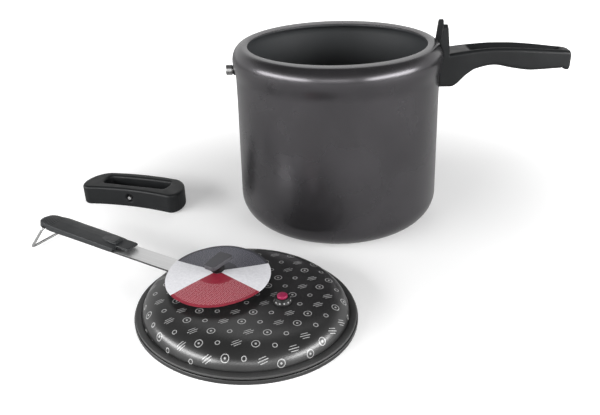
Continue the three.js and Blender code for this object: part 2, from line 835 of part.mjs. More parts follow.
function ventPipe() {
  const low = nutLow - ventEdge;
  const profile = [
    [ventBore, low],
    [ventRadius, low],
    [ventRadius, ventNeck],
    [ventTipRadius, ventNeck + ventEdge],
    [ventTipRadius, ventTip - ventEdge],
    [ventTipRadius - ventEdge, ventTip],
    [ventBore, ventTip],
    [ventBore, low],
  ];
  const hexagon = post(hexRadius, hexLow, hexHigh, [0, 0], 6);
  const bore = post(ventBore, low - over, ventTip + over);
  return shaped(turned(profile, pinFacets), { add: [hexagon], cut: [bore] }).translate(...ventAt, 0);
}

function ventWasher() {
  const high = lidUnderside - seatGap;
  const washer = ring(ventRadius + slipGap, hexRadius, high - washerHeight, high, smallFacets);
  return washer.translate(...ventAt, 0);
}

function ventNut() {
  const hexagon = post(hexRadius, nutLow, nutLow + nutHeight, [0, 0], 6);
  const hole = post(ventRadius + slipGap, nutLow - over, nutLow + nutHeight + over);
  return shaped(hexagon, { cut: [hole] }).translate(...ventAt, 0);
}

// Safety valve: a silicone plug that blows out of a black seat
const valveLow = lidHeight + seatGap;
const valveHigh = valveLow + valveSeatHeight;

function valveSeat() {
  const hole = plugStem + slipGap;
  const sink = plugRadius + slipGap;
  const profile = [
    [hole, valveLow],
    [valveSeatRadius, valveLow],
    [valveSeatRadius, valveLow + valveFlange],
    [valveSeatTop, valveHigh - valveEdge],
    [valveSeatTop - valveEdge, valveHigh],
    [sink, valveHigh],
    [sink, valveHigh - plugSink],
    [hole, valveHigh - plugSink],
    [hole, valveLow],
  ];
  return turned(profile, smallFacets).translate(...valvePlace, 0);
}

function safetyPlug() {
  const bulbTop = lidUnderside - seatGap;
  const headLow = valveHigh - plugSink + seatGap;
  const top = headLow + plugHeight;
  const profile = [
    [0, bulbTop - plugHeight],
    ...arc(0, bulbTop, plugBulb, plugHeight, -90, 0, 3).slice(1),
    [plugStem, bulbTop],
    [plugStem, headLow],
    [plugRadius, headLow],
    ...arc(plugRadius - plugEdge, top - plugEdge, plugEdge, plugEdge, 0, 90, 3),
    [0, top],
  ];
  return turned(profile, smallFacets).translate(...valvePlace, 0);
}

// Paper tag: a shallow cone with its hole on the vent pipe
function paperTag() {
  const hole = ventRadius + slipGap;
  const profile = [
    [hole, tagHigh - tagPaper],
    [tagRadius, tagHigh - tagRise - tagPaper],
    [tagRadius, tagHigh - tagRise],
    [hole, tagHigh],
    [hole, tagHigh - tagPaper],
  ];
  return turned(profile).translate(...ventAt, 0);
}

// Lid grip: a moulding over the strap's outer end, with a nose, a thumb stop and side skirts
const gripEnd = gripStart + gripLength;
const gripFace = strapHigh + seatGap;
const gripScrewPlaces = gripScrewInsets.map((inset) => gripStart + inset);
const strapEnd = gripEnd - strapInset;
const gripHigh = strapHigh + gripTop;
const bodyStart = gripStart + noseLength;
const pivotX = gripEnd - bailPivotInset;
const pivotZ = strapHigh + bailPivotRise;

function gripBody() {
  const span = gripEnd - bodyStart;
  const row = (share, droop, narrow, lift = 0) => ({
    at: bodyStart + share * span,
    top: gripHigh - droop * gripDroop,
    bottom: strapHigh - gripSkirt + lift * gripDroop,
    half: gripWidth / 2 - narrow * gripTaper,
  });
  const stations = [
    row(0, 0.1, 0.22),
    row(0.06, 0, 0.2),
    row(0.5, 0, 0.06),
    row(0.8, 0.05, 0),
    row(0.9, 0.2, 0.14),
    row(0.96, 0.5, 0.5),
    row(1, 1, 1.1, 0.2),
  ];
  return loft(stations, 22, gripCorner);
}

// The nose lies on the strap in front of the body, narrower than the strap, with round corners.
function gripNose() {
  const length = noseLength + gripCorner;
  const row = (share, height, width) => ({
    at: gripStart + share * length,
    top: gripFace + height * noseHeight,
    bottom: gripFace,
    half: (width * noseWidth) / 2,
  });
  const stations = [
    row(0, 0.7, 0.62),
    row(0.05, 0.76, 0.78),
    row(0.14, 0.8, 0.9),
    row(0.36, 0.86, 0.98),
    row(0.6, 0.92, 1),
    row(1, 1, 1),
  ];
  return loft(stations, 14, noseEdge);
}

function thumbStop() {
  const row = (share, rise, width) => ({
    at: bodyStart + thumbInset + share * thumbLength,
    top: gripHigh + rise * thumbRise,
    bottom: gripHigh - gripCorner,
    half: (width * thumbWidth) / 2,
  });
  const stations = [row(0, 0.6, 0.6), row(0.1, 1, 0.9), row(0.35, 0.8, 1), row(1, -0.3, 0.6)];
  return loft(stations, 12, thumbEdge);
}

function lidGrip() {
  const channelHalf = strapWidth / 2 + slipGap;
  const reliefHalf = gripWidth / 2 - bailRelief;
  const reliefStart = gripEnd - bailReliefLength;
  const channel = block(
    [bodyStart - over, -channelHalf, 0],
    [strapEnd + slipGap, channelHalf, gripFace],
  );
  const reliefs = [1, -1].map((side) => {
    const edges = [side * reliefHalf, side * gripWidth];
    return block(
      [reliefStart, Math.min(...edges), 0],
      [gripEnd + over, Math.max(...edges), gripHigh + over],
    );
  });
  const pivot = bar(wireRadius + slipGap, -gripWidth, gripWidth);
  pivot.rotateZ(Math.PI / 2).translate(pivotX, 0, pivotZ);
  const screwHoles = gripScrewPlaces.map((x) =>
    post(screwRadius + slipGap, strapLow, gripFace + gripScrewDepth + seatGap, [x, 0]),
  );
  return shaped(gripBody(), {
    add: [gripNose(), thumbStop()],
    cut: [channel, ...reliefs, pivot, ...screwHoles],
  });
}

function gripScrew(x) {
  const seat = strapLow - seatGap;
  const profile = [
    [0, seat - rivetHeadHeight],
    [screwHeadRadius, seat - rivetHeadHeight],
    [screwHeadRadius, seat],
    [screwRadius, seat],
    [screwRadius, gripFace + gripScrewDepth],
    [0, gripFace + gripScrewDepth],
  ];
  return turned(profile, pinFacets).translate(x, 0, 0);
}

// Wire bail: two pins in the grip, two legs and the bar that hooks under the pot's handle
function bailWire() {
  const lean = THREE.MathUtils.degToRad(bailLean);
  const side = gripWidth / 2 - bailRelief + slipGap + wireRadius;
  const point = (y, down) =>
    new THREE.Vector3(pivotX + down * Math.sin(lean), y, pivotZ - down * Math.cos(lean));
  const path = new THREE.CurvePath();
  const corners = [
    point(side - bailPin, 0),
    point(side, 0),
    point(side, bailLeg),
    point(-side, bailLeg),
    point(-side, 0),
    point(bailPin - side, 0),
  ];
  const bends = [0, bailEye, bailCorner, bailCorner, bailEye, 0];
  let from = corners[0];
  for (let i = 1; i < corners.length - 1; i += 1) {
    const before = corners[i].clone().sub(corners[i - 1]).setLength(bends[i]);
    const after = corners[i + 1].clone().sub(corners[i]).setLength(bends[i]);
    const enter = corners[i].clone().sub(before);
    const leave = corners[i].clone().add(after);
    path.add(new THREE.LineCurve3(from, enter));
    path.add(new THREE.QuadraticBezierCurve3(enter, corners[i], leave));
    from = leave;
  }
  path.add(new THREE.LineCurve3(from, corners[corners.length - 1]));
  const section = new THREE.Shape().absarc(0, 0, wireRadius, 0, Math.PI * 2, false);
  return new THREE.ExtrudeGeometry(section, {
    extrudePath: path,
    steps: 38,
    curveSegments: 4,
    bevelEnabled: false,
  });
}

// Weight: a metal core that closes the vent pipe, under a cap shaped like a paddle
const weightLow = ventNeck + ventEdge + seatGap;
const coreHigh = weightLow + weightCoreHeight;

function weightCore() {
  const hole = ventTipRadius + slipGap;
  const spigotHigh = coreHigh + weightSpigotHeight;
  const profile = [
    [hole, weightLow],
    [weightCoreRadius, weightLow],
    [weightCoreRadius, coreHigh],
    [weightSpigot, coreHigh],
    [weightSpigot, spigotHigh],
    [0, spigotHigh],
    [0, ventTip + seatGap],
    [hole, ventTip + seatGap],
    [hole, weightLow],
  ];
  return turned(profile, smallFacets).translate(...ventAt, 0);
}

// The paddle lies across the strap: straight sides that widen to its broad end at -Y.
function weightCap() {
  const low = coreHigh + seatGap;
  const narrow = paddleNarrow / 2 - paddleEdge;
  const broad = paddleBroad / 2 - paddleEdge;
  const near = paddleNear - paddleEdge;
  const far = paddleEdge - paddleFar;
  const round = paddleCorner;
  const shape = new THREE.Shape();
  shape.moveTo(narrow, near - round);
  shape.quadraticCurveTo(narrow, near, narrow - round, near);
  shape.lineTo(round - narrow, near);
  shape.quadraticCurveTo(-narrow, near, -narrow, near - round);
  shape.lineTo(-broad, far + round);
  shape.quadraticCurveTo(-broad, far, round - broad, far);
  shape.lineTo(broad - round, far);
  shape.quadraticCurveTo(broad, far, broad, far + round);
  shape.closePath();
  const plate = new THREE.ExtrudeGeometry(shape, {
    depth: paddleHeight - 2 * paddleEdge,
    bevelThickness: paddleEdge,
    bevelSize: paddleEdge,
    bevelSegments: 2,
    curveSegments: 5,
  }).translate(0, 0, low + paddleEdge);
  const socketHigh = coreHigh + weightSpigotHeight + seatGap;
  const socket = post(weightSpigot + slipGap, low - over, socketHigh, [0, 0], smallFacets);
  return shaped(plate, { cut: [socket] }).translate(...ventAt, 0);
}

piece("lid_shell", lidShell(), charcoal, lid);
piece("lid_gasket", gasket(), rubber, lid);
piece("lid_strap", strap(), steel, lid);
strapRivetPlaces.forEach((x, i) => piece(`strap_rivet_${i + 1}`, strapRivet(x), steel, lid));
piece("vent_pipe", ventPipe(), aluminium, lid);
piece("vent_washer", ventWasher(), rubber, lid);
piece("vent_nut", ventNut(), aluminium, lid);
piece("valve_seat", valveSeat(), black, lid);
piece("safety_plug", safetyPlug(), silicone, lid);
piece("paper_tag", paperTag(), paper, lid);
piece("lid_grip", lidGrip(), black, lid);
gripScrewPlaces.forEach((x, i) => piece(`grip_screw_${i + 1}`, gripScrew(x), steel, lid));
piece("bail_wire", bailWire(), steel, lid);
piece("weight_core", weightCore(), darkMetal, lid);
piece("weight_cap", weightCap(), weightGrey, lid);

export default cooker;
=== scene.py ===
import math

import bmesh
import bpy
import numpy as np
from mathutils import Matrix, Vector


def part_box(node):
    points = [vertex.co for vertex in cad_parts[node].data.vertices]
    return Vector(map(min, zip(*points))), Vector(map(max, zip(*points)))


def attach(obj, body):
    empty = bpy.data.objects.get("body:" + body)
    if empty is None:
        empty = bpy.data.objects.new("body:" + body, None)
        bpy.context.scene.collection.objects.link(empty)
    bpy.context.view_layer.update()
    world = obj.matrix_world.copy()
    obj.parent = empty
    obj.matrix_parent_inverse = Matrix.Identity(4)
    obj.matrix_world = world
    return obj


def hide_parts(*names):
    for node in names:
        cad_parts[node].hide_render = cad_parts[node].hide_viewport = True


bpy.ops.wm.read_factory_settings(use_empty=True)
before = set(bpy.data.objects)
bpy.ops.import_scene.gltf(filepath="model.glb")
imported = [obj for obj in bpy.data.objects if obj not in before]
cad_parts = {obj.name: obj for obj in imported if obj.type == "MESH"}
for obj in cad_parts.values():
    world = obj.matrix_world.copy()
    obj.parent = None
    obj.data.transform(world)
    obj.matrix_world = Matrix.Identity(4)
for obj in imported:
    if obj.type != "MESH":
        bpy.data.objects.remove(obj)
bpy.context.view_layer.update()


# Pot: one pressed aluminium shell. Its wall swells into a bulge and rolls over a round ridge into
# an oval mouth. Outside it has a satin charcoal coat, inside a darker non-stick one.
mm = 0.001


def arc(centre, radii, start, stop, steps):
    turns = np.radians(np.linspace(start, stop, steps + 1))
    return [(centre[0] + radii[0] * math.cos(t), centre[1] + radii[1] * math.sin(t)) for t in turns]


def solid(name, points, faces):
    mesh = bpy.data.meshes.new(name)
    mesh.from_pydata([tuple(p) for p in points], [], faces)
    mesh.update()
    mesh.shade_smooth()
    made = bpy.data.objects.new(name, mesh)
    bpy.context.scene.collection.objects.link(made)
    return made


def creased(made, degrees):
    made.data.set_sharp_from_angle(angle=math.radians(degrees))
    return made


def turned(name, profile, around, loop=False, crisp=None):
    points, rows, faces = [], [], []
    for radius, level in profile:
        count = 1 if radius < 1e-9 else around
        rows.append(list(range(len(points), len(points) + count)))
        for i in range(count):
            turn = 2 * math.pi * i / around
            points.append((radius * math.cos(turn), radius * math.sin(turn), level))
    uppers = rows[1:] + [rows[0]] if loop else rows[1:]
    for low, high in zip(rows, uppers):
        for i in range(around):
            j = (i + 1) % around
            places = ((low, i), (low, j), (high, j), (high, i))
            corners = [row[k % len(row)] for row, k in places]
            faces.append(list(dict.fromkeys(corners)))
    made = solid(name, points, faces)
    return creased(made, crisp) if crisp else made


class Shade:
    """One shader socket. Arithmetic on it adds Math nodes, and node() adds any other kind."""

    def __init__(self, tree, socket=None):
        self.tree = tree
        self.socket = socket

    def node(self, kind, settings=None, inputs=None, out=0):
        made = self.tree.nodes.new(kind)
        for key, value in (settings or {}).items():
            setattr(made, key, value)
        for key, value in (inputs or {}).items():
            if isinstance(value, Shade):
                self.tree.links.new(value.socket, made.inputs[key])
            else:
                made.inputs[key].default_value = value
        return Shade(self.tree, made.outputs[out])

    def math(self, operation, *others):
        inputs = dict(enumerate((self, *others)))
        return self.node("ShaderNodeMath", {"operation": operation}, inputs)

    def __add__(self, other):
        return self.math("ADD", other)

    def __sub__(self, other):
        return self.math("SUBTRACT", other)

    def __rsub__(self, other):
        return self.node("ShaderNodeMath", {"operation": "SUBTRACT"}, {0: other, 1: self})

    def __mul__(self, other):
        return self.math("MULTIPLY", other)

    def __truediv__(self, other):
        return self.math("DIVIDE", other)

    def __gt__(self, other):
        return self.math("GREATER_THAN", other)

    def __lt__(self, other):
        return self.math("LESS_THAN", other)

    def size(self):
        return self.math("ABSOLUTE")

    def reach(self, other):
        return (self * self + other * other).math("SQRT")

    def part(self, axis):
        return self.node("ShaderNodeSeparateXYZ", {}, {0: self}, axis)

    def between(self, low, high, to_low=0.0, to_high=1.0):
        inputs = {"Value": self, 1: low, 2: high, 3: to_low, 4: to_high}
        return self.node("ShaderNodeMapRange", {"interpolation_type": "SMOOTHSTEP"}, inputs)

    def noise(self, scale, detail):
        inputs = {"Vector": self, "Scale": scale, "Detail": detail}
        return self.node("ShaderNodeTexNoise", {}, inputs)

    def mixed(self, first, second):
        return self.node("ShaderNodeMix", {"data_type": "RGBA"}, {0: self, 6: first, 7: second}, 2)

    def stretched(self, scale):
        return self.node("ShaderNodeMapping", {}, {"Vector": self, "Scale": scale})

    def bump(self, strength, depth):
        inputs = {"Height": self, "Strength": strength, "Distance": depth}
        return self.node("ShaderNodeBump", {}, inputs)


def finish(name, **constants):
    material = bpy.data.materials.new(name)
    material.use_nodes = True
    surface = material.node_tree.nodes["Principled BSDF"]
    for socket, value in constants.items():
        surface.inputs[socket.replace("_", " ")].default_value = value
    place = Shade(material.node_tree).node("ShaderNodeTexCoord", out="Object")
    return material, surface, place


def feed(surface, **shades):
    for socket, shade in shades.items():
        shade.tree.links.new(shade.socket, surface.inputs[socket.replace("_", " ")])


def grey(level):
    return (level, level, level, 1)


def fit(made, body, node, slot, *finishes):
    for material in finishes:
        made.data.materials.append(material)
    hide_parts(node)
    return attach(made, body)


def coat(name, colour, roughness, metallic):
    material, surface, place = finish(name, Metallic=metallic, IOR=1.5)
    grain = place.noise(2600, 2)
    cloud = place.noise(16, 3)
    tone = (grain * 0.5 + cloud * 0.5).between(0.36, 0.64)
    dim, full = [(*[part * share for part in colour], 1) for share in (0.88, 1.12)]
    feed(
        surface,
        Base_Color=tone.mixed(dim, full),
        Roughness=cloud.between(0.3, 0.7, roughness - 0.025, roughness + 0.025),
        Normal=grain.bump(0.12, 0.00006),
    )
    return material


pot_height = 196.8 * mm
wall_radius = 110 * mm
base_radius = 112 * mm
wall = 2.8 * mm
base_corner = 28.5 * mm
pot_floor = 4 * mm
taper_top = 138 * mm
bulge_radius = 112.6 * mm
bulge_level = 182 * mm
bulge_foot = 163 * mm
ridge_radius = 101.3 * mm
mouth_level = 195.2 * mm
mouth_long = 96 * mm
mouth_short = 89.25 * mm


def swelling(radius):
    for share in np.linspace(0, 1, 11):
        out = (bulge_radius - wall_radius) * (1 - math.cos(math.pi * share)) / 2
        yield radius + out, bulge_foot + (bulge_level - bulge_foot) * share


def pot_shell():
    around = 192
    roll = (bulge_radius - ridge_radius, pot_height - bulge_level)
    brim = (ridge_radius - mouth_long, pot_height - mouth_level)
    flare = base_radius - wall_radius
    rise = taper_top - base_corner
    corner_middle = base_radius - base_corner
    outside = [
        (0, 0),
        *[(corner_middle * share, 0) for share in (0.4, 0.8)],
        *arc((corner_middle, base_corner), (base_corner, base_corner), -90, 0, 20),
        *[(base_radius - flare * t, base_corner + rise * t) for t in (0.2, 0.5, 0.8, 1)],
        *swelling(wall_radius),
        *arc((ridge_radius, bulge_level), roll, 0, 90, 28)[1:],
        *arc((ridge_radius, mouth_level), brim, 90, 180, 14)[1:],
    ]
    inner_corner = base_corner - wall
    inner_roll = (wall_radius - wall - ridge_radius, roll[1] - wall)
    inside = [
        (mouth_long, mouth_level - 1.6 * mm),
        (mouth_long + 0.3 * mm, mouth_level - 2.4 * mm),
        (mouth_long + 1.1 * mm, mouth_level - wall + 0.1 * mm),
        *arc((ridge_radius, bulge_level), inner_roll, 90, 0, 14),
        (wall_radius - wall, taper_top),
        *arc((corner_middle, pot_floor + inner_corner), (inner_corner, inner_corner), 0, -90, 16),
        (40 * mm, pot_floor),
        (0, pot_floor),
    ]
    shell = turned("pot_shell", outside + inside, around)
    for vertex in shell.data.vertices:
        x, y, z = vertex.co
        if z > bulge_level:
            share = (ridge_radius - math.hypot(x, y)) / (ridge_radius - mouth_long)
            vertex.co.y = y * (1 + (mouth_short / mouth_long - 1) * min(max(share, 0), 1))
    inner_face = (len(outside) - 1) * around
    for polygon in shell.data.polygons:
        polygon.material_index = int(polygon.index >= inner_face)
    return shell


charcoal = coat("charcoal_coat", (0.058, 0.0555, 0.0595), 0.27, 0.75)
nonstick = coat("non_stick_coat", (0.025, 0.027, 0.029), 0.56, 0.0)
fit(pot_shell(), "pot", "pot_body", "charcoal_coat", charcoal, nonstick)


# Bracket and its two rivets: a bent plate that hugs the wall under the bulge, with a tongue that
# the handle slides over. Domed rivet heads show inside the pot.
def evaluated(made):
    view = bpy.context.evaluated_depsgraph_get()
    return bpy.data.meshes.new_from_object(made.evaluated_get(view))


def softened(made, voxel, passes):
    weld = made.modifiers.new("weld", "WELD")
    weld.merge_threshold = 0.00001
    blocks = made.modifiers.new("blocks", "REMESH")
    blocks.mode = "VOXEL"
    blocks.voxel_size = voxel
    ease = made.modifiers.new("ease", "SMOOTH")
    ease.factor = 0.5
    ease.iterations = passes
    mesh = evaluated(made)
    made.modifiers.clear()
    made.data = mesh
    mesh.materials.clear()
    mesh.shade_smooth()
    return made


def copied(name, node):
    made = bpy.data.objects.new(name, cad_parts[node].data.copy())
    bpy.context.scene.collection.objects.link(made)
    return made


def bare_metal(name, level, roughness, grain=(900, 900, 40), depth=1.0):
    material, surface, place = finish(name, Metallic=1.0)
    lines = place.stretched(grain).noise(1.0, 3)
    smudge = place.noise(60, 3)
    feed(
        surface,
        Base_Color=lines.between(0.3, 0.7).mixed(
            grey(level * (1 - 0.14 * depth)), grey(level * (1 + 0.08 * depth))
        ),
        Roughness=smudge.between(0.3, 0.7, roughness - 0.05, roughness + 0.07),
        Normal=lines.bump(0.08 * depth, 0.00004),
    )
    return material


def spun(degrees, axis):
    return Matrix.Rotation(math.radians(degrees), 4, axis)


bracket_plate = softened(copied("bracket_plate", "handle_bracket"), 0.4 * mm, 2)
fit(bracket_plate, "pot", "handle_bracket", "charcoal_coat", charcoal)
aluminium = bare_metal("turned_aluminium", 0.5, 0.34)
for side in ("left", "right"):
    low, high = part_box("bracket_rivet_" + side)
    turn = math.atan2((low.y + high.y) / 2, (low.x + high.x) / 2)
    head_seat, rivet_end, shank = 106.6 * mm, 112.9 * mm, 2.2 * mm
    profile = [
        *arc((0, head_seat), (5 * mm, 1.8 * mm), 270, 360, 10),
        (shank, head_seat),
        (shank, rivet_end),
        (0, rivet_end),
    ]
    rivet = turned("bracket_rivet_head_" + side, profile, 40, crisp=40)
    level = Matrix.Translation((0, 0, (low.z + high.z) / 2))
    rivet.matrix_world = level @ Matrix.Rotation(turn, 4, "Z") @ spun(90, "Y")
    fit(rivet, "pot", "bracket_rivet_" + side, "bare_aluminium", aluminium)


# Long handle: one black phenolic moulding, waisted for the hand, with a trough along its top that
# takes the lid's grip and a fork of two blades that guides the strap. A lip at its tip holds the
# bail. One screw from below pulls it onto the bracket's tongue.
def eased(stations, at):
    places = [s[0] for s in stations]
    slopes = [
        [(b[k] - a[k]) / (b[0] - a[0]) for k in range(1, len(a))]
        for a, b in zip(stations, stations[1:])
    ]

    def lean(i, k):
        if i in (0, len(stations) - 1):
            return slopes[min(i, len(slopes) - 1)][k]
        product = slopes[i - 1][k] * slopes[i][k]
        return 2 * product / (slopes[i - 1][k] + slopes[i][k]) if product > 0 else 0

    i = min(max(int(np.searchsorted(places, at)) - 1, 0), len(stations) - 2)
    a, b = stations[i], stations[i + 1]
    span = b[0] - a[0]
    t = (at - a[0]) / span
    return [
        a[k + 1] * (1 + 2 * t) * (1 - t) ** 2
        + b[k + 1] * t * t * (3 - 2 * t)
        + span * lean(i, k) * t * (1 - t) ** 2
        + span * lean(i + 1, k) * t * t * (t - 1)
        for k in range(len(a) - 1)
    ]


def lofted(name, rings):
    count = len(rings[0])
    points = [p for ring in rings for p in ring]
    faces = []
    for i in range(len(rings) - 1):
        for j in range(count):
            a, b = i * count + j, i * count + (j + 1) % count
            faces.append((a, b, b + count, a + count))
    faces.append(tuple(reversed(range(count))))
    faces.append(tuple(range(len(points) - count, len(points))))
    return solid(name, points, faces)


def round_bar(half, bottom, top, corner, groove=0.0, groove_half=0.0):
    corner = min(corner, half * 0.95, (top - bottom) * 0.48)
    right = [
        *[(half * t, bottom) for t in (0.0, 0.4)],
        *arc((half - corner, bottom + corner), (corner, corner), -90, 0, 6),
        *arc((half - corner, top - corner), (corner, corner), 0, 90, 6),
    ]
    edge = min(groove_half, half - corner - 0.0002)
    for turn in np.radians(np.linspace(0, 180, 11)):
        share = (1 - math.cos(turn)) / 2
        right.append((edge * (1 - 0.34 * share), top - groove * share))
    right.append((0.0, top - groove))
    left = [(-y, z) for y, z in reversed(right[1:-1])]
    return right + left


def joined(*pieces):
    bpy.ops.object.select_all(action="DESELECT")
    for made in pieces:
        made.select_set(True)
    bpy.context.view_layer.objects.active = pieces[0]
    bpy.ops.object.join()
    return pieces[0]


def cut_away(made, *cutters):
    for cutter in cutters:
        cut = made.modifiers.new("cut", "BOOLEAN")
        cut.operation = "DIFFERENCE"
        cut.solver = "EXACT"
        cut.object = cutter
    made.data = evaluated(made)
    made.modifiers.clear()
    for cutter in cutters:
        bpy.data.objects.remove(cutter)
    seams, tiny = bmesh.new(), 0.000003
    seams.from_mesh(made.data)
    bmesh.ops.remove_doubles(seams, verts=seams.verts, dist=tiny)
    bmesh.ops.dissolve_degenerate(seams, edges=seams.edges, dist=tiny)
    bmesh.ops.triangulate(seams, faces=seams.faces)
    twins = {}
    for face in seams.faces:
        twins.setdefault(frozenset(face.verts), []).append(face)
    flaps = [face for same in twins.values() if len(same) > 1 for face in same]
    bmesh.ops.delete(seams, geom=flaps, context="FACES_ONLY")
    seams.to_mesh(made.data)
    seams.free()
    return made


def side_plate(name, outline, low, high):
    rings = [[(x, y, z) for x, z in outline] for y in (high, low)]
    return lofted(name, rings)


def block_cutter(name, xs, ys, zs):
    outline = [(xs[0], zs[0]), (xs[1], zs[0]), (xs[1], zs[1]), (xs[0], zs[1])]
    return side_plate(name, outline, *ys)


def round_cutter(name, radius, low, high, around=32):
    return turned(name, [(0, low), (radius, low), (radius, high), (0, high)], around)


handle_root = 110.3 * mm
handle_length = 138.6 * mm
handle_half = 17.5 * mm
handle_top = 187.5 * mm
handle_floor = 148.2 * mm
usual_depth = 22.5 * mm
tip_narrowing = 6.5 * mm
tip_fall = 14 * mm
screw_at = handle_root + 12.6 * mm
handle_shape = [
    (
        handle_root + at * handle_length,
        handle_half - narrow * tip_narrowing,
        max(handle_top - deep * usual_depth, handle_floor),
        handle_top - fall * tip_fall,
    )
    for at, fall, deep, narrow in (
        (-0.011, 0.42, 1.75, 0),
        (0.083, 0.2, 1.75, 0),
        (0.112, 0.16, 1.67, 0),
        (0.19, 0.07, 1.22, 0.09),
        (0.267, 0, 0.92, 0.2),
        (0.401, -0.07, 0.77, 0.28),
        (0.551, -0.03, 0.94, 0.26),
        (0.706, 0.09, 1.07, 0.4),
        (0.902, 0.29, 1.06, 0.9),
        (0.94, 0.32, 1.06, 1.02),
        (0.955, 0.34, 1.12, 1.08),
        (0.987, 0.42, 1.17, 1.25),
        (1, 0.6, 1.1, 1.6),
    )
]


def fork_blade(side):
    rings, thick = [], 5 * mm
    back, front, foot = handle_root - 3 * mm, handle_root + 7.2 * mm, 170 * mm
    for y, tip in ((handle_half, 212.2 * mm), (handle_half - thick, 214.8 * mm)):
        outline = (
            (back, tip - 22 * mm),
            (back, foot),
            (front, foot),
            (front, 188.8 * mm),
            (handle_root + 4.6 * mm, tip - 1.2 * mm),
            (handle_root + 3.4 * mm, tip),
            (handle_root - 0.6 * mm, tip),
        )
        rings.append([(x, side * y, z) for x, z in outline])
    return lofted("fork_blade", rings if side > 0 else rings[::-1])


def pot_room(gap):
    roll = (bulge_radius - ridge_radius + gap, pot_height - bulge_level + gap)
    low = 100 * mm
    profile = [
        (0, low),
        (wall_radius + gap, low),
        *swelling(wall_radius + gap),
        *arc((ridge_radius, bulge_level), roll, 0, 90, 16)[1:],
        (0, pot_height + gap),
    ]
    return turned("pot_room", profile, 192)


def bracket_room():
    reach, half, back = 113.2 * mm, 13.8 * mm, 90 * mm
    low, high = 140 * mm, 172.3 * mm
    edge = math.asin(half / reach)
    bow = [(reach * math.cos(t), reach * math.sin(t)) for t in np.linspace(-edge, edge, 17)]
    outline = [(back, -half), *bow, (back, half)]
    return lofted("bracket_room", [[(x, y, z) for x, y in outline] for z in (low, high)])


def handle_moulding():
    rings, edge = [], 4 * mm
    trough_ends, trough_depth, trough_rim = (0.19, 0.27, 0.89, 0.94), 5.5 * mm, 3.6 * mm
    for share in np.linspace(-0.011, 1, 160):
        at = handle_root + share * handle_length
        half, bottom, top = eased(handle_shape, at)
        opened = np.interp(share, trough_ends, (0, 1, 1, 0))
        depth = trough_depth * (opened * opened * (3 - 2 * opened))
        section = round_bar(half, bottom, top, edge, depth, half - trough_rim)
        rings.append([(at, y, z) for y, z in section])
    body = lofted("handle_moulding", rings)
    joined(body, fork_blade(1), fork_blade(-1))
    softened(body, 0.5 * mm, 1)
    notch = round_cutter("notch", 1.5 * mm, -30 * mm, 30 * mm)
    notch_place = Matrix.Translation((handle_root + 0.938 * handle_length, 0, 163.4 * mm))
    notch.matrix_world = notch_place @ spun(90, "X")
    bore = round_cutter("bore", 4.4 * mm, 140 * mm, handle_floor + 3.4 * mm)
    bore.matrix_world = Matrix.Translation((screw_at, 0, 0))
    deep, half, level = (90 * mm, 133.5 * mm), 4.8 * mm, (154.4 * mm, 166.1 * mm)
    tongue_room = block_cutter("tongue_room", deep, (-half, half), level)
    return cut_away(body, pot_room(0.2 * mm), bracket_room(), tongue_room, bore, notch)


def phenolic(name, level, roughness, ior):
    material, surface, place = finish(name, IOR=ior)
    grain = place.noise(1500, 3)
    flow = place.stretched((1, 1, 2.2)).noise(34, 3)
    handled = place.noise(90, 4)
    feed(
        surface,
        Base_Color=flow.between(0.3, 0.7).mixed(
            (level * 0.86, level * 0.93, level, 1), (level * 1.06, level * 1.14, level * 1.22, 1)
        ),
        Roughness=handled.between(0.3, 0.75, roughness - 0.06, roughness + 0.06),
        Normal=grain.bump(0.2, 0.00008),
    )
    return material


black_phenolic = phenolic("black_phenolic", 0.009, 0.46, 1.3)
fit(handle_moulding(), "pot", "pot_handle", "black_phenolic", black_phenolic)


def cross_screw(name, head, shank, head_height, length):
    edge = 0.5 * mm
    profile = [
        (0, 0),
        (head - edge, 0),
        *arc((head - edge, edge), (edge, edge), -90, 0, 4),
        (head, head_height),
        (shank, head_height),
        (shank, length),
        (0, length),
    ]
    made = turned(name, profile, 40, crisp=40)
    slots, reach, slit, deep = [], 0.62 * head, 0.13 * head, 1.1 * mm
    for wide, half in ((reach, slit), (slit, reach)):
        narrow = 0.8 * wide
        outline = [(-wide, -edge), (wide, -edge), (narrow, deep), (-narrow, deep)]
        slots.append(side_plate("slot", outline, -half, half))
    return creased(cut_away(made, *slots), 35)


steel = bare_metal("screw_steel", 0.55, 0.28)
handle_screw = cross_screw("handle_cross_screw", 4 * mm, 2 * mm, 2.4 * mm, 21 * mm)
handle_screw.matrix_world = Matrix.Translation((screw_at, 0, handle_floor + 0.7 * mm))
fit(handle_screw, "pot", "handle_screw", "bright_steel", steel)


# Stud for the helper handle: a turned steel post riveted through the wall opposite the handle,
# with a collar, a neck and a rounded end.
stud_level = 169 * mm
stud_seat, stud_face, stud_end = 106.7 * mm, 110.3 * mm, 120.7 * mm
stud_shank, stud_neck = 3 * mm, 4.6 * mm
stud_profile = [
    *arc((0, stud_seat), (5 * mm, 1.8 * mm), 270, 360, 10),
    (stud_shank, stud_seat),
    (stud_shank, stud_face),
    (5.9 * mm, stud_face),
    *arc((5.5 * mm, 112.3 * mm), (0.4 * mm, 0.4 * mm), 0, 90, 4),
    (stud_neck, 112.8 * mm),
    (stud_neck, 113.8 * mm),
    (5.6 * mm, 114.2 * mm),
    *arc((4.7 * mm, stud_end - 1 * mm), (1 * mm, 1 * mm), 0, 90, 6),
    (0, stud_end),
]
stud = turned("stud", stud_profile, 48, crisp=35)
stud.matrix_world = Matrix.Translation((0, 0, stud_level)) @ spun(-90, "Y")


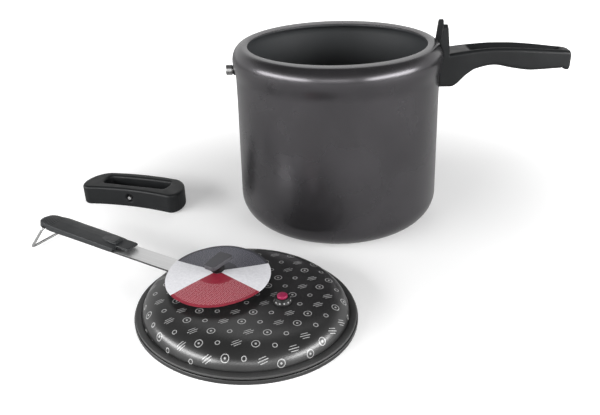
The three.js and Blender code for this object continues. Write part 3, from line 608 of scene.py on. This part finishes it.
def stud_steel():
    material, surface, place = finish("stud_steel", Metallic=1.0)
    collar_end = 113.5 * mm
    turning = place.stretched((60, 60, 3200)).noise(1.0, 2)
    bright = turning.between(0.3, 0.7).mixed(grey(0.3), grey(0.42))
    feed(
        surface,
        Base_Color=(place.part(2) < collar_end).mixed(bright, grey(0.03)),
        Roughness=turning.between(0.3, 0.7, 0.3, 0.38),
        Normal=turning.bump(0.15, 0.00005),
    )
    return material


fit(stud, "pot", "helper_stud", "bright_steel", stud_steel())


# Helper handle: a loose D-shaped phenolic loop with rounded edges, a socket for the stud in its
# pot-side bar and one cross-head screw through it. It lies flat on the floor.
def bent(points, steps=14):
    out = []
    for kind, *corners in points:
        if kind == "line":
            out.append(corners[0])
            continue
        knots = [Vector(c) for c in (out[-1], *corners)]
        for t in np.linspace(0, 1, steps + 1)[1:]:
            level = knots
            while len(level) > 1:
                level = [a.lerp(b, t) for a, b in zip(level, level[1:])]
            out.append(tuple(level[0]))
    return out


def swept(name, curve, paths, closed):
    for path in paths:
        spline = curve.splines.new("POLY")
        spline.points.add(len(path) - 1)
        for point, place in zip(spline.points, path):
            point.co = (*place, 1)
        spline.use_cyclic_u = closed
    guide = bpy.data.objects.new(name, curve)
    bpy.context.scene.collection.objects.link(guide)
    mesh = evaluated(guide)
    bpy.data.objects.remove(guide)
    made = bpy.data.objects.new(name, mesh)
    bpy.context.scene.collection.objects.link(made)
    return made


def rounded_plate(name, outlines, height, edge):
    curve = bpy.data.curves.new(name, "CURVE")
    curve.dimensions = "2D"
    curve.fill_mode = "BOTH"
    curve.extrude = height / 2 - edge
    curve.bevel_depth = edge
    curve.bevel_resolution = 5
    return swept(name, curve, [[(x, y, 0) for x, y in outline] for outline in outlines], True)


helper_height = 24 * mm
helper_middle = Matrix.Translation((0, 0, helper_height / 2))


def helper_loop():
    foot, swell, shoulder = 54 * mm, 66 * mm, 45 * mm
    near, far, side = 3 * mm, 43.7 * mm, 36 * mm
    outer = bent([
        ("line", (-foot, near)),
        ("curve", (0, 13 * mm), (foot, near)),
        ("curve", (swell, near), (swell, side), (shoulder, far)),
        ("curve", (0, 50.3 * mm), (-shoulder, far)),
        ("curve", (-swell, side), (-swell, near), (-foot, near)),
    ])[:-1]
    gap, low, high = 46 * mm, 14 * mm, 40 * mm
    middle, corner = (low + high) / 2, (high - low) / 3
    inner = bent([
        ("line", (corner - gap, low)),
        ("curve", (-gap, low), (-gap, middle)),
        ("curve", (-gap, high), (corner - gap, high)),
        ("curve", (0, high + 3 * mm), (gap - corner, high)),
        ("curve", (gap, high), (gap, middle)),
        ("curve", (gap, low), (gap - corner, low)),
    ])
    loop = rounded_plate("helper_loop", [outer, inner], helper_height, 3 * mm)
    loop.data.transform(helper_middle)
    softened(loop, 0.8 * mm, 3)
    socket = round_cutter("socket", 5.6 * mm, 0, 10.5 * mm)
    sink = round_cutter("sink", 4.4 * mm, 13.6 * mm, 22 * mm)
    for cutter in (socket, sink):
        cutter.matrix_world = helper_middle @ spun(-90, "X")
    return cut_away(loop, socket, sink)


helper_place = Matrix.Translation((-253 * mm, 3 * mm, 0)) @ spun(-16, "Z")
helper = helper_loop()
helper.matrix_world = helper_place
fit(helper, "helper_handle", "helper_handle", "black_phenolic", black_phenolic)
helper_screw = cross_screw("helper_cross_screw", 4 * mm, 2 * mm, 2.4 * mm, 11.2 * mm)
screw_seat = Matrix.Translation((0, 16.3 * mm, 0))
helper_screw.matrix_world = helper_place @ helper_middle @ screw_seat @ spun(90, "X")
fit(helper_screw, "helper_handle", "helper_screw", "bright_steel", steel)


# Lid: an oval pressed dome with a flat flange and a rolled bead at its edge. It has the pot's coat
# and a light grey print of small rings, dots and strokes that runs over the dome's shoulder.
lid_place = Matrix.Translation((-92.9 * mm, -213.4 * mm, 0)) @ spun(149, "Z")
lid_height = 24 * mm
lid_radius = 105.25 * mm
dome_radius = 97.65 * mm
crown_radius = 64 * mm
lid_squeeze = 191.5 / 210.5
flange_level = 3.6 * mm


def shoulder_curve(inside, foot):
    top, side = lid_height - inside, dome_radius - inside
    lean = (crown_radius + 20 * mm - inside, top)
    fall = (side - 2.4 * mm, top - 3.7 * mm)
    shoulder = [("line", (crown_radius, top)), ("curve", lean, fall, (side, 6.5 * mm))]
    return [*bent(shoulder, 36), (side, foot)]


def lid_dome():
    sheet, bead, around = 2.4 * mm, 1.52 * mm, 192
    under = flange_level - sheet
    rim = lid_radius - bead / 2
    profile = [
        (0, lid_height - sheet),
        *[(crown_radius * share, lid_height - sheet) for share in (0.3, 0.6, 0.85)],
        *shoulder_curve(sheet, under),
        (lid_radius - bead, under),
        (lid_radius - bead, 0.3 * mm),
        *arc((rim, bead / 2), (bead / 2, bead / 2), -90, 0, 6),
        *arc((rim, flange_level), (bead / 2, bead / 2), 0, 180, 10),
        *reversed(shoulder_curve(0, flange_level)),
        *[(crown_radius * share, lid_height) for share in (0.85, 0.6, 0.3)],
        (0, lid_height),
    ]
    dome = turned("lid_dome", profile, around)
    runs = [0.0]
    for inner, outer in zip(profile[::-1], profile[-2::-1]):
        runs.insert(0, runs[0] + math.dist(inner, outer))
    spread = dome.data.attributes.new("print_place", "FLOAT_VECTOR", "POINT")
    for vertex in dome.data.vertices:
        x, y, z = vertex.co
        radius = math.hypot(x, y)
        stretch = runs[(vertex.index + around - 1) // around] / max(radius, 1e-9)
        spread.data[vertex.index].vector = (x * stretch, y * stretch * lid_squeeze, z)
        vertex.co.y = y * lid_squeeze
    return dome


def printed_coat():
    material, surface, place = finish("printed_coat", IOR=1.5)
    grain = place.noise(2600, 2)
    cloud = place.noise(18, 3)
    sheet = place.node("ShaderNodeAttribute", {"attribute_name": "print_place"}, out="Vector")
    pitch, row_pitch, turn = 15.8 * mm, 15.8 * 0.87 * mm, math.radians(27)
    first_column, first_row = 40.31, 40.17
    x, y = sheet.part(0), sheet.part(1)
    along = (x * math.cos(turn) + y * math.sin(turn)) / pitch + first_column
    across = (y * math.cos(turn) - x * math.sin(turn)) / row_pitch + first_row
    row = across.math("FLOOR")
    shifted = along + row.math("MODULO", 2) * 0.5
    column = shifted.math("FLOOR")
    a = (shifted - column - 0.5) * pitch
    b = (across - row - 0.5) * row_pitch
    far = a.reach(b)
    slant = b - a * 0.55
    kind = (column + row * 2).math("MODULO", 3)
    blur, line = 0.16 * mm, 0.36 * mm

    def band(distance, half):
        return 1 - distance.between(half - blur, half + blur)

    def stroke(aside, half, reach):
        return band((slant + aside).size(), half) * band(far, reach)

    ring = band((far - 3.3 * mm).size(), line) + band(far, 1 * mm)
    outer = [stroke(aside, line, 3.9 * mm) for aside in (-2.5 * mm, 2.5 * mm)]
    strokes = stroke(0, line * 1.15, 4.7 * mm) + outer[0] + outer[1]
    small_ring = band((far - 1.9 * mm).size(), line)
    ink = (kind < 0.5) * ring + (kind > 0.5) * (kind < 1.5) * strokes + (kind > 1.5) * small_ring
    printed = (place.part(2) > 5.5 * mm) * ink.math("MINIMUM", 1.0)
    worn = place.noise(900, 3).between(0.2, 0.55, 0.72, 1.0)
    print_mask = printed * worn
    level = cloud.between(0.3, 0.7).mixed(grey(0.06), grey(0.074))
    feed(
        surface,
        Base_Color=print_mask.mixed(level, grey(0.4)),
        Metallic=0.75 - print_mask * 0.7,
        Roughness=cloud.between(0.3, 0.7, 0.28, 0.33) + print_mask * 0.12,
        Normal=grain.bump(0.12, 0.00006),
    )
    return material


dome = lid_dome()
dome.data.transform(lid_place)
fit(dome, "lid", "lid_shell", "printed_coat", printed_coat())


# Gasket: a black rubber ring that lies on the lid's flange and meets the underside of the pot's
# rim. Its broad upper face falls a little to a rounded outer edge.
def gasket_ring():
    inner, outer = 97.75 * mm, 104.25 * mm
    low, high = 4.66 * mm, 7.5 * mm
    foot, edge, bevel = 0.5 * mm, 1.1 * mm, 0.3 * mm
    profile = [
        (inner, low),
        *arc((outer - foot, low + foot), (foot, foot), -90, 0, 5),
        *arc((outer - edge, high - foot - edge), (edge, edge), 0, 84, 8),
        (inner + bevel, high),
        (inner, high - bevel),
    ]
    ring = turned("gasket_ring", profile, 192, loop=True)
    ring.data.transform(Matrix.Diagonal((1, lid_squeeze, 1, 1)))
    return ring


def rubber():
    material, surface, place = finish("sealing_rubber", IOR=1.5)
    dust = place.noise(700, 4)
    drift = place.noise(40, 3)
    feed(
        surface,
        Base_Color=(dust * drift).between(0.12, 0.42).mixed(grey(0.038), grey(0.052)),
        Roughness=drift.between(0.3, 0.7, 0.46, 0.6),
        Normal=dust.bump(0.15, 0.00006),
    )
    return material


sealing_rubber = rubber()
gasket = gasket_ring()
gasket.data.transform(lid_place)
fit(gasket, "lid", "lid_gasket", "black_rubber", sealing_rubber)


# Strap: a flat bar of pale spring steel, rounded at the lid's middle. Its sheared side faces are
# coloured near black, which is painted shade along its edges. Two domed rivets hold it to the
# dome, the vent pipe goes through it, and it carries the grip.
def strap_bar():
    half, start, end = 9.8 * mm, 3 * mm, 250 * mm
    turns = np.radians(np.linspace(90, 270, 33))
    outline = [(start + half + half * math.cos(t), half * math.sin(t)) for t in turns]
    outline += [(end, -half), (end, half)]
    bar = rounded_plate("strap_bar", [outline], 2 * mm, 0.25 * mm)
    bar.data.transform(Matrix.Translation((0, 0, 25.3 * mm)))
    bar.data.shade_smooth()
    creased(bar, 30)
    for polygon in bar.data.polygons:
        # Side faces take the second, near black material: painted shade along the strap's edges.
        polygon.material_index = int(abs(polygon.normal.z) < 0.8)
    return bar


strap_steel = bare_metal("spring_steel", 0.85, 0.38, (14, 900, 900), 0.35)
strap = strap_bar()
strap.matrix_world = lid_place
# Near black metal for the sheared sides: painted shade along the strap's edges.
sheared_edge_painted_shade = bare_metal("sheared_edge_painted_shade", 0.1, 0.5)
fit(strap, "lid", "lid_strap", "bright_steel", strap_steel, sheared_edge_painted_shade)
for number, at in ((1, 13 * mm), (2, 46 * mm)):
    head, shank = 4.5 * mm, 2.3 * mm
    foot, dome_under, strap_top = 19.5 * mm, 21.3 * mm, 26.6 * mm
    rivet_profile = [
        (0, foot),
        (head, foot),
        (head, dome_under),
        (shank, dome_under),
        (shank, strap_top),
        *arc((0, strap_top), (head, 1.8 * mm), 0, 90, 10),
    ]
    rivet = turned(f"strap_rivet_head_{number}", rivet_profile, 40, crisp=40)
    rivet.matrix_world = lid_place @ Matrix.Translation((at, 0, 0))
    fit(rivet, "lid", f"strap_rivet_{number}", "bright_steel", steel)


# Vent pipe: turned aluminium with a tall hexagon, drilled through, clamped through strap and dome
# by a rubber washer and a chamfered nut inside the lid.
def hexagon(low, high, corner_radius):
    flat = corner_radius * math.cos(math.pi / 6)
    face, slope = flat * 0.98, 0.58

    def out(turn):
        return flat / math.cos((turn + math.pi / 6) % (math.pi / 3) - math.pi / 6)

    turns = np.linspace(0, 2 * math.pi, 96, endpoint=False)
    rings = []
    stages = ((low, 0, face), (low, 1, None), (high, -1, None), (high, 0, face))
    for level, chamfer, radius in stages:
        ring = []
        for turn in turns:
            r = radius or out(turn)
            rise = (out(turn) - flat) * slope * chamfer
            ring.append((r * math.cos(turn), r * math.sin(turn), level + rise))
        rings.append(ring)
    return rings


vent_place = lid_place @ Matrix.Translation((29 * mm, 0, 0))
pipe_profile = [
    (1.6 * mm, 13.1 * mm),
    (4.2 * mm, 13.1 * mm),
    (4.2 * mm, 36.6 * mm),
    (3.4 * mm, 37.6 * mm),
    *arc((2.4 * mm, 41.6 * mm), (1.0 * mm, 1.0 * mm), 0, 90, 5),
    (1.6 * mm, 42.6 * mm),
]
pipe = turned("vent_tube", pipe_profile, 48, loop=True, crisp=35)
vent_hexagon = lofted("vent_hexagon", hexagon(26.6 * mm, 35.1 * mm, 8.5 * mm))
joined(pipe, vent_hexagon)
creased(pipe, 25)
pipe.matrix_world = vent_place
fit(pipe, "lid", "vent_pipe", "bare_aluminium", aluminium)
washer_profile = [
    (4.6 * mm, 20.0 * mm),
    (8.5 * mm, 20.0 * mm),
    (8.5 * mm, 21.3 * mm),
    (4.6 * mm, 21.3 * mm),
]
washer = turned("vent_seal", washer_profile, 48, loop=True, crisp=40)
washer.matrix_world = vent_place
fit(washer, "lid", "vent_washer", "black_rubber", sealing_rubber)
nut = lofted("vent_hex_nut", hexagon(15.2 * mm, 19.7 * mm, 8.5 * mm))
creased(cut_away(nut, round_cutter("nut_bore", 4.6 * mm, 10 * mm, 30 * mm, 40)), 25)
nut.matrix_world = vent_place
fit(nut, "lid", "vent_nut", "bare_aluminium", aluminium)


# Safety valve: a black seat on the dome with a row of twelve small light grey marks painted round
# its foot, and a magenta silicone plug that blows out of it.
valve_place = lid_place @ Matrix.Translation((-40 * mm, -2.5 * mm, 0))
seat_profile = [
    (3.4 * mm, 24.3 * mm),
    (8.3 * mm, 24.3 * mm),
    (8.3 * mm, 25.5 * mm),
    (7.9 * mm, 25.9 * mm),
    (6.9 * mm, 29.0 * mm),
    *arc((6.1 * mm, 29.1 * mm), (0.8 * mm, 0.8 * mm), 0, 90, 6),
    (5.1 * mm, 29.9 * mm),
    (5.1 * mm, 28.9 * mm),
    (3.4 * mm, 28.9 * mm),
]
seat = turned("valve_collar", seat_profile, 64, loop=True, crisp=35)
seat.matrix_world = valve_place


def pale_marked_black():
    material, surface, place = finish("pale_marked_black", IOR=1.4)
    grain = place.noise(1500, 3)
    x, y, z = place.part(0), place.part(1), place.part(2)
    count, mark_level, mark_half = 12, 26.9 * mm, 0.6 * mm
    steps = y.math("ARCTAN2", x) * (count / (2 * math.pi)) + count
    aside = (steps.math("FRACT") - 0.5).size()
    # Twelve small light grey marks round the seat's foot, as colour only.
    pale_marks = (aside < 0.16) * ((z - mark_level).size() < mark_half)
    feed(
        surface,
        Base_Color=pale_marks.mixed(grey(0.009), grey(0.34)),
        Roughness=grain.between(0.3, 0.7, 0.42, 0.52),
        Normal=grain.bump(0.15, 0.00006),
    )
    return material


fit(seat, "lid", "valve_seat", "black_phenolic", pale_marked_black())
plug_profile = [
    *arc((0, 21.3 * mm), (4.6 * mm, 2.8 * mm), 270, 360, 8),
    (3 * mm, 21.3 * mm),
    (3 * mm, 29.2 * mm),
    (4.7 * mm, 29.2 * mm),
    *arc((3.5 * mm, 30.8 * mm), (1.2 * mm, 1.2 * mm), 0, 80, 8),
    (1.8 * mm, 32.1 * mm),
    (0, 32.15 * mm),
]
plug = turned("plug_button", plug_profile, 56, crisp=50)
plug.matrix_world = valve_place


def silicone():
    material, surface, place = finish("magenta_silicone", IOR=1.43)
    bloom = place.noise(500, 3)
    feed(
        surface,
        Base_Color=bloom.between(0.3, 0.7).mixed((0.24, 0.01, 0.05, 1), (0.3, 0.015, 0.07, 1)),
        Roughness=bloom.between(0.3, 0.7, 0.38, 0.5),
        Normal=bloom.bump(0.1, 0.00005),
    )
    return material


fit(plug, "lid", "safety_plug", "magenta_silicone", silicone())


# Paper tag: a thin printed disc with its hole on the vent pipe. It rests on the hexagon and rises
# to its middle as a shallow cone. Its edge waves, lifts on one side and droops on another. It has
# four plain fields of colour.
tag_high = 36.3 * mm
tag_hole = 4.6 * mm
tag_radius = 48.8 * mm
tag_rise = 4.5 * mm


def tag_disc():
    rows, around, paper = 28, 144, 0.35 * mm
    points, faces = [], []
    for side in (0, 1):
        for i in range(rows + 1):
            share = i / rows
            radius = tag_hole + (tag_radius - tag_hole) * share
            for j in range(around):
                turn = 2 * math.pi * j / around
                wave = 0.5 * math.sin(2 * turn + 0.6) + 0.3 * math.sin(5 * turn + 1.0)
                lift = 3.2 * mm * max(math.cos(turn + 1.03), 0) ** 1.5
                droop = 1.8 * mm * max(math.cos(turn - 1.1), 0) ** 2
                bend = share**3 * wave * mm + (lift - droop) * share**2
                level = tag_high - tag_rise * share + bend - side * paper
                points.append((radius * math.cos(turn), radius * math.sin(turn), level))
    count = (rows + 1) * around
    for i in range(rows):
        for j in range(around):
            a, b = i * around + j, i * around + (j + 1) % around
            faces.append((a, a + around, b + around, b))
            faces.append((count + b, count + b + around, count + a + around, count + a))
    for i in (0, rows):
        for j in range(around):
            a, b = i * around + j, i * around + (j + 1) % around
            edge = (a, b, count + b, count + a)
            faces.append(edge if i == 0 else tuple(reversed(edge)))
    return creased(solid("tag_disc", points, faces), 40)


def printed_paper():
    material, surface, place = finish("printed_paper", IOR=1.45)
    x, y = place.part(0), place.part(1)
    turn = y.math("ARCTAN2", x) * (180 / math.pi)
    turn = turn + (turn < 0) * 360
    far = x.reach(y)
    red = (turn > 67.5) * (turn < 176)
    dark = turn > 231.7
    fibre = place.noise(420, 5)
    tone = fibre.between(0.3, 0.7)
    dotted = {"Vector": place, "Scale": 640, "Randomness": 0.25}
    screen = place.node("ShaderNodeTexVoronoi", {"voronoi_dimensions": "2D"}, dotted)
    dots = (1 - screen.between(0.28, 0.4)) * (far > 19 * mm) * (far < 46 * mm)
    white = tone.mixed((0.68, 0.68, 0.71, 1), (0.76, 0.76, 0.79, 1))
    slate = tone.mixed((0.034, 0.034, 0.042, 1), (0.05, 0.05, 0.06, 1))
    crimson = tone.mixed((0.22, 0.014, 0.03, 1), (0.27, 0.02, 0.038, 1))
    slate = (dots * 0.5).mixed(slate, (0.3, 0.3, 0.36, 1))
    crimson = (dots * 0.6).mixed(crimson, (0.62, 0.32, 0.34, 1))
    feed(
        surface,
        Base_Color=dark.mixed(red.mixed(white, crimson), slate),
        Roughness=fibre.between(0.3, 0.7, 0.42, 0.56),
        Normal=fibre.bump(0.12, 0.0001),
    )
    return material


tag = tag_disc()
tag.matrix_world = vent_place
fit(tag, "lid", "paper_tag", "tag_paper", printed_paper())


# Grip: a thin black moulding with bevelled sides over the strap's outer end. A nose stands over the
# strap with a raised thumb pad behind it, fine ridges mark the rounded end, and pockets there take
# the bail's ends. Two screws hold it from below.
grip_start, grip_end = 139.5 * mm, 268 * mm
grip_high, grip_face = 30.6 * mm, 26.6 * mm
body_start = 154.5 * mm


def grip_section(far, near, bottom, top):
    return [
        (0, bottom),
        (near * 0.6, bottom),
        (near - 1.4 * mm, bottom),
        (near, bottom + 1.2 * mm),
        (near - 1.1 * mm, top - 0.3 * mm),
        (near - 1.5 * mm, top),
        (near * 0.4, top + 0.1 * mm),
        (-far * 0.1, top + 0.1 * mm),
        (-far * 0.4, top - 0.2 * mm),
        (-far * 0.62, top - 0.6 * mm),
        (-far * 0.8, top - 1.2 * mm),
        (-far * 0.93, top - 2.1 * mm),
        (-far, bottom + 1.4 * mm),
        (-far, bottom + 0.4 * mm),
        (0.4 * mm - far, bottom),
        (-far * 0.6, bottom),
    ]


def grip_moulding():
    span = grip_end - body_start
    shape = [
        (body_start + at * span, far * mm, near * mm, (25 + lift) * mm, grip_high + rise * mm)
        for at, far, near, lift, rise in (
            (0, 12.2, 12.4, 0.3, -0.1),
            (0.05, 13.7, 12.7, 0.3, 0.2),
            (0.5, 15, 12.2, 0.2, 0.8),
            (0.78, 14.4, 12.6, 0.6, 2.1),
            (0.86, 12.4, 12.2, 0.7, 2.5),
            (0.92, 11.9, 11.7, 0.8, 2.6),
            (0.97, 10.2, 9.4, 0.9, 2.3),
            (1, 6, 4.8, 1, 1.3),
        )
    ]
    rings = []
    for share in np.linspace(0, 1, 170):
        at = body_start + share * span
        far, near, bottom, top = eased(shape, at)
        ribbed = 0.22 * mm if 0.8 < share < 0.97 else 0
        ridge = ribbed * math.sin(2 * math.pi * (at - body_start) / (2.6 * mm))
        rings.append([(at, y, z) for y, z in grip_section(far, near, bottom, top + ridge)])
    body = lofted("grip_moulding", rings)
    nose_start, nose_length, nose_half = grip_start - 1.5 * mm, 18.7 * mm, 7.6 * mm
    nose_shape = [
        (
            nose_start + at * nose_length,
            wide * nose_half,
            (28 + 0.9 * lift) * mm,
            (31.2 - drop) * mm,
        )
        for at, wide, lift, drop in (
            (0, 0.88, 1, 0.6),
            (0.04, 0.95, 0.8, 0.3),
            (0.16, 0.98, 0.5, 0.1),
            (0.45, 1, 0.15, 0),
            (1, 1, 0, 0),
        )
    ]
    pad_start, pad_length, pad_half = body_start + 1.2 * mm, 26 * mm, 5.6 * mm
    pad_shape = [
        (
            pad_start + at * pad_length,
            wide * pad_half,
            29 * mm,
            grip_high + (0.4 + rise * 2.8) * mm,
        )
        for at, rise, wide in (
            (0, 0.9, 0.7),
            (0.06, 1, 0.9),
            (0.2, 0.9, 1),
            (0.6, 0.42, 0.9),
            (1, -0.1, 0.5),
        )
    ]
    extras, offset = [], 1.6 * mm
    for name, outline in (("nose", nose_shape), ("thumb_pad", pad_shape)):
        sections = []
        for at in np.linspace(outline[0][0], outline[-1][0], 60):
            section = round_bar(*eased(outline, at), 0.5 * mm)
            sections.append([(at, y - offset, z) for y, z in section])
        extras.append(lofted(name, sections))
    joined(body, *extras)
    softened(body, 0.4 * mm, 1)
    low, half, outer = 10 * mm, 10.2 * mm, 20 * mm
    strap_room = (body_start - 1 * mm, 250.4 * mm)
    cutters = [block_cutter("channel", strap_room, (-half, half), (low, grip_face))]
    pivot_room = (252.3 * mm, 261 * mm)
    wire_room = (251.9 * mm, grip_end + 1 * mm)
    for name, along, inner, high in (
        ("pivot", pivot_room, 8.9 * mm, 29.3 * mm),
        ("flat", wire_room, 11.9 * mm, 40 * mm),
    ):
        cutters.append(block_cutter("near_" + name, along, (inner, outer), (low, high)))
        cutters.append(block_cutter("far_" + name, along, (-outer, -inner), (low, high)))
    return cut_away(body, *cutters)


grip = grip_moulding()
grip.matrix_world = lid_place
fit(grip, "lid", "lid_grip", "black_phenolic", phenolic("grip_phenolic", 0.019, 0.42, 1.35))
for number, at in ((1, 182 * mm), (2, 230 * mm)):
    screw = cross_screw(f"grip_cross_screw_{number}", 4 * mm, 2 * mm, 1.8 * mm, 7 * mm)
    screw.matrix_world = lid_place @ Matrix.Translation((at, 0, 22.2 * mm))
    fit(screw, "lid", f"grip_screw_{number}", "bright_steel", steel)


# Bail: one bent steel wire whose legs spread to its bar and whose ends turn inwards into the grip's
# sides, so that it swings down and hooks under the tip of the pot's handle.
def bail_loop():
    wire, lean, leg = 1.4 * mm, math.radians(35), 30.2 * mm
    side, flare, pin = 13.6 * mm, 19.5 * mm, 5 * mm
    pivot = Vector((256 * mm, 0, 27.4 * mm))

    def spot(y, down):
        return pivot + Vector((down * math.sin(lean), y, -down * math.cos(lean)))

    corners = [
        spot(side - pin, 0),
        spot(side, 0),
        spot(flare, leg),
        spot(-flare, leg),
        spot(-side, 0),
        spot(pin - side, 0),
    ]
    path = [corners[0]]
    for before, corner, after, bend in zip(corners, corners[1:], corners[2:], (2.1, 4.0, 4.0, 2.1)):
        enter = corner + (before - corner).normalized() * bend * mm
        leave = corner + (after - corner).normalized() * bend * mm
        for t in np.linspace(0, 1, 13):
            path.append(enter.lerp(corner, t).lerp(corner.lerp(leave, t), t))
    path.append(corners[-1])
    curve = bpy.data.curves.new("bail_loop", "CURVE")
    curve.dimensions = "3D"
    curve.bevel_depth = wire
    curve.bevel_resolution = 6
    curve.use_fill_caps = True
    loop = swept("bail_loop", curve, [path], False)
    loop.data.shade_smooth()
    return loop


bail = bail_loop()
bail.matrix_world = lid_place
fit(bail, "bail", "bail_wire", "bright_steel", bare_metal("drawn_wire", 0.42, 0.3, (400, 400, 400)))


# Weight: a dark metal core that closes the vent pipe under a grey plastic paddle to lift it by,
# flat on top and a little broader at one end.
core_profile = [
    (0, 42.9 * mm),
    (3.8 * mm, 42.9 * mm),
    (3.8 * mm, 37.9 * mm),
    (6.2 * mm, 37.9 * mm),
    (6.6 * mm, 38.3 * mm),
    (6.6 * mm, 43.0 * mm),
    (6.2 * mm, 43.4 * mm),
    (2.6 * mm, 43.4 * mm),
    (2.6 * mm, 45.8 * mm),
    (0, 45.8 * mm),
]
core = turned("weight_slug", core_profile, 56, crisp=35)
core.matrix_world = vent_place
# The core is coloured near black.
fit(core, "weight", "weight_core", "dark_metal", bare_metal("near_black_metal", 0.03, 0.4))


def weight_paddle():
    edge, corner = 0.9 * mm, 2.6 * mm
    narrow, broad = 6.2 * mm - edge, 7.8 * mm - edge
    near, far = 12.5 * mm - edge, edge - 15 * mm
    outline = bent([
        ("line", (narrow, near - corner)),
        ("curve", (narrow, near), (narrow - corner, near)),
        ("line", (corner - narrow, near)),
        ("curve", (-narrow, near), (-narrow, near - corner)),
        ("line", (-broad, far + corner)),
        ("curve", (-broad, far), (corner - broad, far)),
        ("line", (broad - corner, far)),
        ("curve", (broad, far), (broad, far + corner)),
    ])
    paddle = rounded_plate("weight_paddle", [outline], 4.4 * mm, edge)
    paddle.data.transform(Matrix.Translation((0, 0, 45.9 * mm)))
    softened(paddle, 0.3 * mm, 1)
    return cut_away(paddle, round_cutter("socket", 3 * mm, 40 * mm, 46.1 * mm))


def grey_plastic():
    material, surface, place = finish("weight_plastic", IOR=1.5)
    grain = place.noise(1300, 3)
    drift = place.noise(120, 3)
    feed(
        surface,
        Base_Color=drift.between(0.3, 0.7).mixed((0.038, 0.037, 0.043, 1), (0.05, 0.049, 0.056, 1)),
        Roughness=drift.between(0.3, 0.7, 0.42, 0.54),
        Normal=grain.bump(0.2, 0.00008),
    )
    return material


paddle = weight_paddle()
paddle.matrix_world = vent_place
fit(paddle, "weight", "weight_cap", "grey_cap", grey_plastic())


# Studio: a pale floor that goes to white away from the cooker, a white sky with a dark ceiling,
# three low strips of soft light round the front that draw the bands on the shoulders, a soft lamp
# behind, and the camera at the photograph's place.
def ray(start, kind):
    return start.node("ShaderNodeLightPath", out=f"Is {kind} Ray")


def studio_floor():
    half = 6
    corners = [(-half, -half, 0), (half, -half, 0), (half, half, 0), (-half, half, 0)]
    floor = solid("studio_floor", corners, [(0, 1, 2, 3)])
    material, surface, place = finish("pale_floor", Base_Color=grey(0.8), Roughness=1.0)
    surface.inputs["Specular IOR Level"].default_value = 0
    surface.inputs["Emission Strength"].default_value = 1.0
    far = place.part(0).reach(place.part(1))
    glow = far.between(0.14, 0.6).mixed(grey(0.2), grey(1.0))
    feed(surface, Emission_Color=ray(place, "Camera").mixed(grey(0.0), glow))
    floor.data.materials.append(material)


def studio_lamp(name, place, aim, width, height, power):
    lamp = bpy.data.lights.new(name, "AREA")
    lamp.shape = "RECTANGLE"
    lamp.size = width
    lamp.size_y = height
    lamp.energy = power
    made = bpy.data.objects.new(name, lamp)
    made.location = place
    made.rotation_mode = "QUATERNION"
    made.rotation_quaternion = (Vector(aim) - Vector(place)).to_track_quat("-Z", "Y")
    bpy.context.scene.collection.objects.link(made)


studio_floor()
studio_lamp("left_lamp", (-1.47, -0.84, 0.56), (-0.05, -0.1, 0.1), 2.0, 0.36, 37)
studio_lamp("right_lamp", (1.34, -0.9, 0.54), (0, -0.1, 0.1), 1.7, 0.34, 33)
studio_lamp("front_lamp", (-0.1, -1.8, 0.62), (0, -0.1, 0.1), 1.1, 0.3, 5)
studio_lamp("back_lamp", (0.2, 1.5, 1.5), (0, 0, 0.15), 1.2, 0.9, 5)

world = bpy.data.worlds.new("white_sky")
world.use_nodes = True
bpy.context.scene.world = world
air = Shade(world.node_tree)
height = air.node("ShaderNodeTexCoord", out="Generated").part(2)
ceiling = height.between(0.35, 0.7).mixed(grey(1.0), grey(0.15))
seen = ray(air, "Camera").math("MAXIMUM", ray(air, "Transmission"))
backdrop = seen.mixed(grey(0.22), grey(1.0))
feed(world.node_tree.nodes["Background"], Color=ray(air, "Glossy").mixed(backdrop, ceiling))

lens = bpy.data.cameras.new("lens")
lens.sensor_width = 36
lens.lens = 41.097
camera = bpy.data.objects.new("camera", lens)
heading, tilt, roll = spun(1.552, "Z"), spun(90 - 27.158, "X"), spun(-1.948, "Z")
camera.matrix_world = Matrix.Translation((-0.02556, -0.73205, 0.37407)) @ heading @ tilt @ roll
bpy.context.scene.collection.objects.link(camera)
bpy.context.scene.camera = camera
bpy.context.scene.view_settings.view_transform = "Standard"
